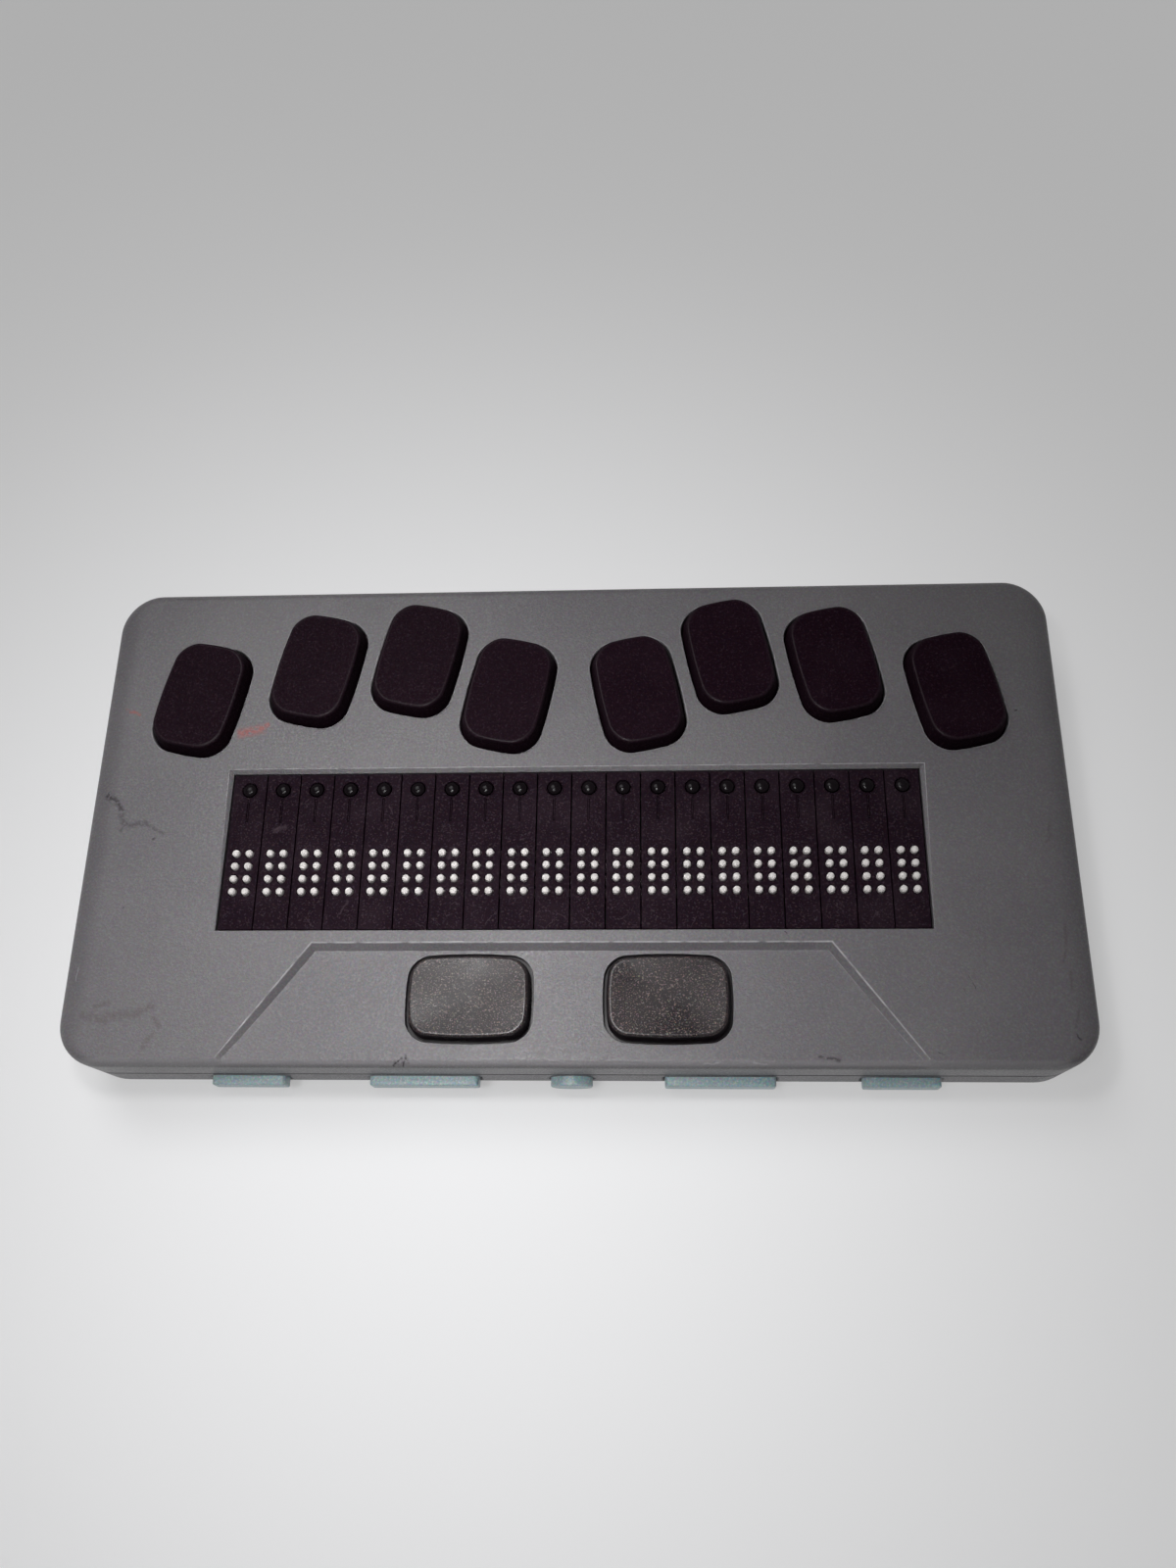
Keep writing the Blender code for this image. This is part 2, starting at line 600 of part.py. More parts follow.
# Feet, battery, cover and screws
def foot_places():
    x = CASE_WIDTH / 2 - FOOT_INSET
    return [(sx * x, y) for sx in (-1, 1) for y in (FRONT_Y + FOOT_INSET, REAR_Y - FOOT_INSET)]


def make_feet():
    names = ("foot_front_left", "foot_rear_left", "foot_front_right", "foot_rear_right")
    top = UNDER_Z + FOOT_SOCKET_DEPTH - SEAT_GAP
    outlines = [round_outline(radius, FOOT_SIDES) for radius in (FOOT_RADIUS - FOOT_PROUD / 4, FOOT_RADIUS)]
    for name, (x, y) in zip(names, foot_places()):

        def build(bm, x=x, y=y):
            heights = (0.0, FOOT_PROUD / 2, top)
            rings = [at_height(outlines[min(i, 1)], z, x, y) for i, z in enumerate(heights)]
            add_loft(bm, rings)

        smooth(mesh_object(name, build, "foot_rubber"))


def screw_xs():
    return (-SCREW_ACROSS_SHARE * COVER_WIDTH, SCREW_ACROSS_SHARE * COVER_WIDTH)


def make_battery():
    middle = (BATTERY_FRONT_Y + BATTERY_REAR_Y) / 2
    outline = soft_outline(BATTERY_WIDTH, BATTERY_DEPTH, BATTERY_CORNER)
    heights = (COVER_TOP_Z + SEAT_GAP, BATTERY_TOP_Z)
    battery = mesh_object(
        "battery_pack",
        lambda bm: add_loft(bm, [at_height(outline, z, 0.0, middle) for z in heights]),
        "battery_wrap",
    )
    smooth(battery)


def make_cover():
    middle = (COVER_FRONT_Y + COVER_REAR_Y) / 2
    outline = soft_outline(COVER_WIDTH, COVER_DEPTH, COVER_CORNER)
    cover = mesh_object(
        "battery_cover",
        lambda bm: add_loft(bm, [at_height(outline, z, 0.0, middle) for z in (UNDER_Z, COVER_TOP_Z)]),
        "base_grey",
    )

    def holes(bm):
        shank = round_outline(SCREW_RADIUS + SLIDE_GAP, SCREW_SIDES)
        head = round_outline(SCREW_HEAD_RADIUS + SLIDE_GAP, SCREW_SIDES)
        seat = UNDER_Z + SCREW_HEAD_HEIGHT + SEAT_GAP
        for x in screw_xs():
            top = COVER_TOP_Z + CUT_OVERRUN
            levels = ((head, UNDER_Z - CUT_OVERRUN), (head, seat), (shank, seat), (shank, top))
            add_loft(bm, [at_height(ring, z, x, SCREW_Y) for ring, z in levels])

    boolean(cover, mesh_object("cover_screw_cuts", holes), "DIFFERENCE", "screw holes")
    smooth(cover)


def make_screws():
    for name, x in zip(("cover_screw_left", "cover_screw_right"), screw_xs()):

        def build(bm, x=x):
            head = round_outline(SCREW_HEAD_RADIUS, SCREW_SIDES)
            shank = round_outline(SCREW_RADIUS, SCREW_SIDES)
            seat = UNDER_Z + SCREW_HEAD_HEIGHT
            levels = ((head, UNDER_Z), (head, seat), (shank, seat), (shank, seat + SCREW_LENGTH))
            add_loft(bm, [at_height(ring, z, x, SCREW_Y) for ring, z in levels])

        def slots(bm, x=x):
            long, short = SCREW_HEAD_RADIUS * SCREW_CROSS_SHARE, SCREW_SLOT_WIDTH / 2
            low, high = UNDER_Z - CUT_OVERRUN, UNDER_Z + SCREW_SLOT_DEPTH
            cross = []
            for sx, sy in ((1, 1), (-1, 1), (-1, -1), (1, -1)):
                corner = [(sx * long, sy * short), (sx * short, sy * short), (sx * short, sy * long)]
                cross += corner if sx * sy > 0 else list(reversed(corner))
            add_loft(bm, [at_height(cross, z, x, SCREW_Y) for z in (low, high)])

        screw = mesh_object(name, build, "steel")
        boolean(screw, mesh_object(name + "_slot_cut", slots), "DIFFERENCE", "cross slot")
        smooth(screw)


# Main board with its switches
def board_outline():
    half = CASE_WIDTH / 2 - SIDE_WALL - BOARD_GAP
    front = FRONT_Y + SIDE_WALL + BOARD_GAP
    rear = REAR_Y - SIDE_WALL - BOARD_GAP
    inner = half - BOARD_CORNER_NOTCH
    front_step, rear_step = front + BOARD_CORNER_NOTCH, rear - BOARD_CORNER_NOTCH
    right = [
        (inner, front), (inner, front_step), (half, front_step),
        (half, rear_step), (inner, rear_step), (inner, rear),
    ]
    return right + [(-x, y) for x, y in reversed(right)]


def make_main_board():
    outline = board_outline()
    board = mesh_object(
        "main_board",
        lambda bm: add_loft(bm, [at_height(outline, z) for z in (BOARD_LOW_Z, BOARD_TOP_Z)]),
        "board_green",
    )

    def switches(bm):
        for _, x, y, turn in key_places() + space_places():
            add_box_turned(bm, SWITCH_SIDE, x, y, turn, BOARD_TOP_Z - JOIN_OVERLAP, SWITCH_TOP_Z)
        for _, x, width in thumb_places():
            half = SWITCH_SIDE / 2
            low = (x - half, THUMB_STOP_Y, THUMB_MID_Z - THUMB_HEIGHT / 2)
            add_box(bm, low, (x + half, THUMB_STOP_Y + THUMB_SWITCH_DEPTH, BOARD_LOW_Z + JOIN_OVERLAP))

    def pockets(bm):
        side = STEM_SIDE + 2 * SEAT_GAP
        for _, x, y, turn in key_places() + space_places():
            add_box_turned(bm, side, x, y, turn, BOARD_TOP_Z, SWITCH_TOP_Z + CUT_OVERRUN)

    boolean(board, mesh_object("switch_bodies", switches), "UNION", "switches")
    boolean(board, mesh_object("switch_pockets", pockets), "DIFFERENCE", "pockets")


def add_box_turned(bm, side, x, y, turn, low_z, high_z):
    """An upright square post of the given side, turned about its own middle."""
    half = side / 2
    square = ((-half, -half), (half, -half), (half, half), (-half, half))
    add_loft(bm, [at_height(square, z, x, y, turn) for z in (low_z, high_z)])


# Keys
def make_top_key(name, x, y, turn, width, length, surface_z, proud):
    """A key cap with drafted sides, a flange that the case holds down and a stem for its switch."""

    def build(bm):
        shapes = (
            (KEY_FLANGE, FLANGE_LOW_Z - surface_z),
            (KEY_FLANGE, FLANGE_TOP_Z - surface_z),
            (0.0, FLANGE_TOP_Z - surface_z),
            (0.0, 0.0),
            (-KEY_DRAFT, proud - KEY_EDGE),
            (-KEY_DRAFT - KEY_EDGE, proud),
        )
        rings = []
        for grow, z in shapes:
            corner = max(KEY_CORNER_RADIUS + grow, KEY_CORNER_RADIUS / 2)
            outline = soft_outline(width + 2 * grow, length + 2 * grow, corner, KEY_BULGE)
            rings.append(at_height(outline, z))
        add_loft(bm, rings)

    def stem(bm):
        low, high = STEM_LOW_Z - surface_z, FLANGE_LOW_Z - surface_z + JOIN_OVERLAP
        add_box_turned(bm, STEM_SIDE, 0.0, 0.0, 0.0, low, high)

    key = mesh_object(name, build, "key_black")
    post = mesh_object(name + "_stem", stem)
    place = Matrix.Translation((x, y, surface_z)) @ Matrix.Rotation(turn, 4, "Z")
    key.matrix_world = place
    post.matrix_world = place
    boolean(key, post, "UNION", "stem")
    smooth(key)


def make_top_keys():
    for name, x, y, turn in key_places():
        make_top_key(name, x, y, turn, KEY_WIDTH, KEY_LENGTH, TOP_Z, KEY_PROUD)
    for name, x, y, turn in space_places():
        make_top_key(name, x, y, turn, SPACE_WIDTH, SPACE_DEPTH, panel_floor_z(y), SPACE_PROUD)


def thumb_ring(width, grow, y):
    """The outline of a thumb key in its wall, standing upright at y, grown by a margin all round."""
    if width:
        outline = soft_outline(width + 2 * grow, THUMB_HEIGHT + 2 * grow, THUMB_EDGE + grow, steps=2)
    else:
        outline = home_outline(grow)
    return [(px, y, THUMB_MID_Z + pz) for px, pz in outline]


def home_outline(grow):
    """The home key is an oval, wider than it is high."""
    wide, high = HOME_WIDTH / 2 + grow, HOME_HEIGHT / 2 + grow
    return [(wide * px, high * py) for px, py in round_outline(1, HOME_SIDES)]


def make_thumb_keys():
    for name, x, width in thumb_places():

        def build(bm, width=width):
            wall_inside = SIDE_WALL + SEAT_GAP
            levels = (
                (-THUMB_EDGE, -THUMB_PROUD),
                (0.0, -THUMB_PROUD + THUMB_EDGE),
                (0.0, wall_inside),
                (THUMB_FLANGE, wall_inside),
                (THUMB_FLANGE, wall_inside + THUMB_FLANGE_DEPTH),
            )
            add_loft(bm, [thumb_ring(width, grow, y) for grow, y in levels])

        key = mesh_object(name, build, "thumb_teal")
        key.location = (x, FRONT_Y, 0.0)
        smooth(key)


# Braille cells, dots and routing buttons
def cell_x(index):
    return (index - (CELL_COUNT - 1) / 2) * CELL_PITCH


def dot_xs():
    return [cell_x(i) + side * DOT_PITCH / 2 for i in range(CELL_COUNT) for side in (-1, 1)]


def dot_row_y(row):
    """Rows are counted from the rear: row 0 holds dots 1 and 4, row 3 holds dots 7 and 8."""
    return DOTS_Y + ((DOT_ROWS - 1) / 2 - row) * DOT_PITCH


def make_cell_strip():
    half = CELLS_WIDTH / 2
    strip = mesh_object(
        "cell_cap_strip",
        lambda bm: add_box(bm, (-half, CELLS_FRONT_Y, CELLS_LOW_Z), (half, CELLS_REAR_Y, CELLS_TOP_Z)),
        "cell_black",
    )
    plate_low = CELLS_TOP_Z - CELL_PLATE

    def inside(bm):
        low = (-half + CELL_WALL, CELLS_FRONT_Y + CELL_WALL, CELLS_LOW_Z - CUT_OVERRUN)
        add_box(bm, low, (half - CELL_WALL, CELLS_REAR_Y - CELL_WALL, plate_low))

    def holes(bm):
        low, high = plate_low - CUT_OVERRUN, CELLS_TOP_Z + CUT_OVERRUN
        dot_hole = round_outline(DOT_RADIUS + SLIDE_GAP, DOT_SIDES)
        for row in range(DOT_ROWS):
            for x in dot_xs():
                add_loft(bm, [at_height(dot_hole, z, x, dot_row_y(row)) for z in (low, high)])
        router_hole = round_outline(ROUTER_RADIUS + SLIDE_GAP, ROUTER_SIDES)
        for i in range(CELL_COUNT):
            add_loft(bm, [at_height(router_hole, z, cell_x(i), ROUTER_Y) for z in (low, high)])
            slit_rear = ROUTER_Y - ROUTER_RADIUS - SLIDE_GAP - SEAT_GAP
            slit_half = SLIT_WIDTH / 2
            corner = (cell_x(i) - slit_half, slit_rear - SLIT_LENGTH, CELLS_TOP_Z - SLIT_DEPTH)
            add_box(bm, corner, (cell_x(i) + slit_half, slit_rear, high))
        for i in range(1, CELL_COUNT):
            x = cell_x(i) - CELL_PITCH / 2
            groove = CELL_GROOVE_WIDTH / 2
            corner = (x - groove, CELLS_FRONT_Y - CUT_OVERRUN, CELLS_TOP_Z - CELL_GROOVE_DEPTH)
            add_box(bm, corner, (x + groove, CELLS_REAR_Y + CUT_OVERRUN, high))

    boolean(strip, mesh_object("cell_strip_inside", inside), "DIFFERENCE", "hollow")
    boolean(strip, mesh_object("cell_strip_holes", holes), "DIFFERENCE", "holes")


def make_dot_rows():
    """Each row of dots along the line stands on one bar under the caps. Rest is dots raised."""
    half = CELLS_WIDTH / 2 - CELL_WALL - SEAT_GAP
    names = ("dots_1_4_row", "dots_2_5_row", "dots_3_6_row", "dots_7_8_row")
    shaft = round_outline(DOT_RADIUS, DOT_SIDES)
    top = CELLS_TOP_Z + DOT_TRAVEL
    for row, name in enumerate(names[:DOT_ROWS]):
        y = dot_row_y(row)

        def bar(bm, y=y):
            low = (-half, y - DOT_BAR_WIDTH / 2, DOT_BAR_LOW_Z)
            add_box(bm, low, (half, y + DOT_BAR_WIDTH / 2, DOT_BAR_TOP_Z))

        def dots(bm, y=y):
            heights = (DOT_BAR_TOP_Z - JOIN_OVERLAP, top - DOT_TRAVEL / 2)
            for x in dot_xs():
                add_loft(bm, [at_height(shaft, z, x, y) for z in heights], tip=(x, y, top))

        carrier = mesh_object(name, bar, "dot_white")
        boolean(carrier, mesh_object(name + "_dots", dots), "UNION", "dots")


def make_cell_backplane():
    """The board under the cells, with the reed block under the dots and the switch rail under the buttons."""
    half = CELLS_WIDTH / 2
    low_z = BOARD_TOP_Z + SEAT_GAP
    low, high = (-half, CELLS_FRONT_Y, low_z), (half, CELLS_REAR_Y, low_z + BOARD_THICK)
    plate = mesh_object("cell_backplane", lambda bm: add_box(bm, low, high), "board_green")

    def blocks(bm):
        inner = half - CELL_WALL - 2 * SEAT_GAP
        reed_top = DOT_BAR_LOW_Z - DOT_TRAVEL - SEAT_GAP
        rear, front = dot_row_y(0) + DOT_PITCH / 2, dot_row_y(DOT_ROWS - 1) - DOT_PITCH / 2
        add_box(bm, (-inner, front, low_z + BOARD_THICK - JOIN_OVERLAP), (inner, rear, reed_top))
        rail_top = CELLS_TOP_Z + ROUTER_PROUD - ROUTER_LENGTH - ROUTER_TRAVEL - SEAT_GAP
        corner = (-inner, ROUTER_Y - ROUTER_RADIUS, low_z + BOARD_THICK - JOIN_OVERLAP)
        add_box(bm, corner, (inner, ROUTER_Y + ROUTER_RADIUS, rail_top))

    boolean(plate, mesh_object("backplane_blocks", blocks), "UNION", "blocks")


def make_routers():
    shaft = round_outline(ROUTER_RADIUS, ROUTER_SIDES)
    crown = round_outline(ROUTER_RADIUS * ROUTER_CROWN_SHARE, ROUTER_SIDES)
    for i in range(CELL_COUNT):

        def build(bm):
            low = ROUTER_PROUD - ROUTER_LENGTH
            levels = ((shaft, low), (shaft, ROUTER_PROUD / 3), (crown, ROUTER_PROUD))
            add_loft(bm, [at_height(ring, z) for ring, z in levels])

        button = mesh_object(f"routing_button_{i + 1:02d}", build, "router_black")
        button.location = (cell_x(i), ROUTER_Y, CELLS_TOP_Z)
        smooth(button)


# Sockets, side buttons and the status light
def make_socket(name, side, y, width, height, depth, low_z, finish="steel"):
    """A metal shell with an open mouth in the side wall and a tongue that stands clear inside it."""
    mouth = CASE_WIDTH / 2 - SOCKET_INSET
    back = mouth - depth
    ends = sorted((side * mouth, side * back))
    shell = mesh_object(
        name,
        lambda bm: add_box(bm, (ends[0], y - width / 2, low_z), (ends[1], y + width / 2, low_z + height)),
        finish,
    )
    room_ends = sorted((side * (mouth + CUT_OVERRUN), side * (back + SHELL)))
    tongue_ends = sorted((side * (mouth - SHELL), side * (back + SHELL / 2)))
    half = width / 2

    def room(bm):
        low = (room_ends[0], y - half + SHELL, low_z + SHELL)
        add_box(bm, low, (room_ends[1], y + half - SHELL, low_z + height - SHELL))

    def tongue(bm):
        middle = low_z + height / 2
        tongue_half = half - SHELL - TONGUE_CLEAR
        low = (tongue_ends[0], y - tongue_half, middle - TONGUE_THICK / 2)
        add_box(bm, low, (tongue_ends[1], y + tongue_half, middle + TONGUE_THICK / 2))

    boolean(shell, mesh_object(name + "_room", room), "DIFFERENCE", "mouth")
    boolean(shell, mesh_object(name + "_tongue", tongue), "UNION", "tongue")


def make_sockets():
    make_socket(
        "usb_c_socket", -1, along_side(USB_C_SHARE), USB_C_WIDTH, USB_C_HEIGHT, USB_C_DEPTH, SOCKET_LOW_Z
    )
    make_socket(
        "usb_a_socket", -1, along_side(USB_A_SHARE), USB_A_WIDTH, USB_A_HEIGHT, USB_A_DEPTH, USB_A_LOW_Z
    )


def make_audio_jack():
    y = along_side(JACK_SHARE)
    mouth = CASE_WIDTH / 2 - SOCKET_INSET
    middle = SOCKET_LOW_Z + JACK_HEIGHT / 2
    low = (mouth - JACK_DEPTH, y - JACK_WIDTH / 2, SOCKET_LOW_Z)
    high = (mouth, y + JACK_WIDTH / 2, SOCKET_LOW_Z + JACK_HEIGHT)
    jack = mesh_object("audio_jack", lambda bm: add_box(bm, low, high), "key_black")

    def bore(bm):
        ring = round_outline(JACK_BORE, JACK_SIDES)
        ends = (mouth - JACK_DEPTH + SHELL, mouth + CUT_OVERRUN)
        add_loft(bm, [[(x, y + py, middle + pz) for py, pz in ring] for x in ends])

    boolean(jack, mesh_object("audio_jack_bore", bore), "DIFFERENCE", "bore")


def make_card_socket():
    mouth = REAR_Y - SOCKET_INSET
    half = CARD_WIDTH / 2
    low, high = (-half, mouth - CARD_DEPTH, SOCKET_LOW_Z), (half, mouth, SOCKET_LOW_Z + CARD_HEIGHT)
    socket = mesh_object("card_socket", lambda bm: add_box(bm, low, high), "steel")

    def slot(bm):
        middle = SOCKET_LOW_Z + CARD_HEIGHT / 2
        corner = (-half + SHELL, mouth - CARD_DEPTH + SHELL, middle - CARD_SLOT_HEIGHT / 2)
        add_box(bm, corner, (half - SHELL, mouth + CUT_OVERRUN, middle + CARD_SLOT_HEIGHT / 2))

    boolean(socket, mesh_object("card_socket_slot", slot), "DIFFERENCE", "slot")


def make_side_buttons():
    for name, side, y in small_controls():

        def build(bm):
            inside = SIDE_WALL + SEAT_GAP
            levels = (
                (0.0, 0.0), (0.0, inside), (BUTTON_FLANGE, inside),
                (BUTTON_FLANGE, inside + BUTTON_FLANGE_DEPTH),
            )
            rings = []
            for grow, depth in levels:
                outline = soft_outline(
                    BUTTON_LENGTH + 2 * grow, BUTTON_HEIGHT + 2 * grow, BUTTON_HEIGHT / 4, steps=2
                )
                rings.append([(depth, py, pz) for py, pz in outline])
            add_loft(bm, rings)

        button = mesh_object(name, build, "key_black")
        turn = Matrix.Rotation(math.pi if side > 0 else 0.0, 4, "Z")
        button.matrix_world = Matrix.Translation((side * CASE_WIDTH / 2, y, CONTROL_Z)) @ turn
        smooth(button)


def make_status_light():
    y = along_side(LIGHT_SHARE)

    def build(bm):
        ring = round_outline(LIGHT_RADIUS, LIGHT_SIDES)
        ends = (-CASE_WIDTH / 2, -CASE_WIDTH / 2 + LIGHT_LENGTH)
        add_loft(bm, [[(x, y + py, CONTROL_Z + pz) for py, pz in ring] for x in ends])

    smooth(mesh_object("status_light", build, "light_pipe"))


def main():
    clear_scene()
    make_top_case()
    make_bottom_case()
    make_feet()
    make_battery()
    make_cover()
    make_screws()
    make_main_board()
    make_top_keys()
    make_thumb_keys()
    make_cell_strip()
    make_dot_rows()
    make_cell_backplane()
    make_routers()
    make_sockets()
    make_audio_jack()
    make_card_socket()
    make_side_buttons()
    make_status_light()


main()
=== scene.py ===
# %% [markdown]
# A refreshable braille display: a small flat case with twenty braille cells, eight keys for
# writing braille, two space keys and five thumb keys in its front wall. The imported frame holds
# every piece at its real size. This script dresses it: finer surfaces for the pieces that show,
# and a finish for each. The frame comes first, because everything is placed by it.

# %% Load the frame
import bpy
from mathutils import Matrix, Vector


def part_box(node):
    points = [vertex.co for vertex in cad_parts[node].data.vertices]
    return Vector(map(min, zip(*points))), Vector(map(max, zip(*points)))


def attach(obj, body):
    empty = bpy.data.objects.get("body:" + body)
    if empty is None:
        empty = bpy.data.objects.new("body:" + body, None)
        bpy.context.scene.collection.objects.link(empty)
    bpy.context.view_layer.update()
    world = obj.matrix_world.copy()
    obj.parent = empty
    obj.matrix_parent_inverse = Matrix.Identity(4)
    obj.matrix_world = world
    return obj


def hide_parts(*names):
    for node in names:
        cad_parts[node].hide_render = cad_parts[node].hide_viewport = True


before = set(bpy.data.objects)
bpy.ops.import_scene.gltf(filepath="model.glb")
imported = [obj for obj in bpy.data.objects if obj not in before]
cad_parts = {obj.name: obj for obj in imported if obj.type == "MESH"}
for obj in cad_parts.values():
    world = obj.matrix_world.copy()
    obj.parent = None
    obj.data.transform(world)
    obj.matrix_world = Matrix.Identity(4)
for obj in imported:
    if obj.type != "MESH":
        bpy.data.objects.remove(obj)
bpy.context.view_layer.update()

# %% Python's and Blender's modules
import math

import bmesh
import bpy
import numpy as np
from mathutils import Euler, Vector
from mathutils.geometry import delaunay_2d_cdt

# %% [markdown]
# The camera stands where the photograph was taken: about a quarter of a metre over the front
# half of the display, looking almost straight down and leaning back a little. Its place and
# turn were found by fitting the even grid of the 160 braille dots.

# %% Camera
CAMERA_PLACE = (0.0162, -0.0801, 0.2431)
CAMERA_TURN_DEGREES = (21.06, 3.12, 0.65)
CAMERA_LENS = 29.49
CAMERA_SENSOR = 36.0
CAMERA_NEAREST = 0.01


def added(name, data):
    """A new object with the given data, in the scene."""
    made = bpy.data.objects.new(name, data)
    bpy.context.scene.collection.objects.link(made)
    return made


camera_data = bpy.data.cameras.new("camera")
camera_data.lens = CAMERA_LENS
camera_data.sensor_width = CAMERA_SENSOR
camera_data.clip_start = CAMERA_NEAREST
camera = added("camera", camera_data)
camera.location = CAMERA_PLACE
camera.rotation_euler = Euler([math.radians(angle) for angle in CAMERA_TURN_DEGREES])
bpy.context.scene.camera = camera
print("camera at", CAMERA_PLACE)

# %% [markdown]
# Finishes are built from shader nodes, but long chains of Math nodes are hard to read. So a
# small class wraps a socket, and ordinary arithmetic on it adds the nodes. Every other node
# comes from one method, node(), which takes its kind, its settings and its sockets.

# %% Shader arithmetic
MM = 0.001
# The Mix node has three sets of sockets with the same names, so its colour ones go by number
MIX_FACTOR, MIX_A, MIX_B, MIX_RESULT = 0, 6, 7, 2
SPECK_SHIFT = (1.7, 2.3, 4.1)
FULL_LENGTH_SHARE = 0.35


class Signal:
    """A number that varies over a surface. Adding, multiplying and so on adds Math nodes."""

    def __init__(self, paint, socket):
        self.paint, self.socket = paint, socket

    def math(self, operation, a, b=0.0):
        return self.paint.node("ShaderNodeMath", {"operation": operation}, {0: a, 1: b})

    def __add__(self, other):
        return self.math("ADD", self, other)

    def __sub__(self, other):
        return self.math("SUBTRACT", self, other)

    def __rsub__(self, other):
        return self.math("SUBTRACT", other, self)

    def __mul__(self, other):
        return self.math("MULTIPLY", self, other)

    def __abs__(self):
        return self.math("ABSOLUTE", self)

    __radd__, __rmul__ = __add__, __mul__

    def larger(self, other):
        return self.math("MAXIMUM", self, other)


class Paint:
    """One material with its Principled shader, and the patterns that finishes share."""

    def __init__(self, name, roughness=0.5, metallic=0.0):
        self.material = bpy.data.materials.new(name)
        self.material.use_nodes = True
        self.tree = self.material.node_tree
        self.shader = self.tree.nodes["Principled BSDF"]
        self.set("Roughness", roughness)
        self.set("Metallic", metallic)
        place = self.tree.nodes.new("ShaderNodeTexCoord")
        self.place = Signal(self, place.outputs["Object"])

    def node(self, kind, settings=None, sockets=None, out=0):
        """Adds a node: its settings first, then a value or a link for each of its sockets."""
        made = self.tree.nodes.new(kind)
        for key, value in (settings or {}).items():
            setattr(made, key, value)
        for key, value in (sockets or {}).items():
            self.feed(made.inputs[key], value)
        return Signal(self, made.outputs[out])

    def feed(self, socket, value):
        if isinstance(value, Signal):
            self.tree.links.new(value.socket, socket)
        elif socket.type == "RGBA":
            socket.default_value = (*value[:3], 1.0)
        else:
            socket.default_value = value

    def set(self, socket, value):
        self.feed(self.shader.inputs[socket], value)

    def axes(self):
        """The surface's place as three numbers, in metres."""
        split = self.node("ShaderNodeSeparateXYZ", {}, {0: self.place}).socket.node
        return [Signal(self, split.outputs[i]) for i in range(3)]

    def noise(self, size, detail=2.0, seed=0.0):
        """Cloudy noise from 0 to 1 whose patches are about the given size in metres. A seed moves
        it, so that two noises of one size differ."""
        place = self.place
        if seed:
            place = self.node("ShaderNodeMapping", {}, {0: place, "Location": (seed, seed, seed)})
        sockets = {"Vector": place, "Scale": 1.0 / size, "Detail": detail}
        return self.node("ShaderNodeTexNoise", {}, sockets)

    def patches(self, size, detail, seed, low, high):
        """Noise as patches with soft edges: 0 where it is under low and 1 where it is over high."""
        return self.step(self.noise(size, detail, seed), low, high)

    def step(self, value, low, high):
        """Rises smoothly from 0 where the value is at low to 1 where it is at high."""
        sockets = {"Value": value, "From Min": low, "From Max": high}
        return self.node("ShaderNodeMapRange", {"interpolation_type": "SMOOTHSTEP"}, sockets)

    def blend(self, factor, a, b):
        """The colour a where the factor is 0 and b where it is 1."""
        return self.mix(factor, a, b, "MIX")

    def mix(self, factor, a, b, way):
        sockets = {MIX_FACTOR: factor, MIX_A: a, MIX_B: b}
        settings = {"data_type": "RGBA", "blend_type": way}
        return self.node("ShaderNodeMix", settings, sockets, out=MIX_RESULT)

    def speckled(self, tone, size, amount):
        """A colour with fine specks in it that are lighter, darker and tinted by turns."""
        place = self.node("ShaderNodeMapping", {}, {0: self.place, "Location": SPECK_SHIFT})
        sockets = {"Vector": place, "Scale": 1.0 / size, "Detail": 1.0}
        specks = self.node("ShaderNodeTexNoise", {}, sockets, out="Color")
        return self.mix(amount, tone, specks, "OVERLAY")

    def rim(self):
        """How far a point lies on a rim, which the mesh says point by point. Rims wear, and on the case they
        are also painted lighter as a highlight.
        """
        return self.node("ShaderNodeAttribute", {"attribute_name": "rim"}, out="Fac")

    def bump(self, height, depth):
        """Raises the surface by up to the given depth in metres where the height is 1."""
        sockets = {"Height": height, "Distance": depth, "Strength": 1.0}
        self.set("Normal", self.node("ShaderNodeBump", {}, sockets))

    def smear(self, mark, wobble=0.0):
        """A soft oblong patch. mark is (x, y, turn in degrees, length, width) in millimetres. The
        patch is 1 on its middle line, fades out across its width, and is even along most of its
        length. The wobble moves the line sideways."""
        x, y, turn, length, width = mark
        across, along, _ = self.axes()
        c, s = math.cos(math.radians(turn)), math.sin(math.radians(turn))
        u = (across - x * MM) * c + (along - y * MM) * s
        v = (along - y * MM) * c - (across - x * MM) * s + wobble
        ends = self.step(abs(u), length * MM / 2, length * MM * FULL_LENGTH_SHARE)
        return ends * self.step(abs(v), width * MM / 2, 0.0)


def display_colour(red, green, blue):
    """Shader values of a colour written as 0 to 255. The display's curve is undone: small shares are
    divided by 12.92, and the rest are raised to the power 2.4 after a shift of 0.055."""
    share = np.array([red, green, blue]) / 255
    return tuple(np.where(share > 0.04045, ((share + 0.055) / 1.055) ** 2.4, share / 12.92))


print("paint tools ready")

# %% [markdown]
# Three lamps light the display. A soft one stands high behind its left corner, so the case is
# lighter at the left and the rims that face it are lit. A small one over the middle mirrors towards
# the camera in front of the cells, where the grain sparkles. A weak one high in front lights the
# front wall and the thumb keys. Grids hold each lamp's light together. More light would clip the
# floor, so its pale look and the world's come from Light Path: rays that see or mirror them get
# more than rays that only light the display. View transform Standard shows a colour as written.

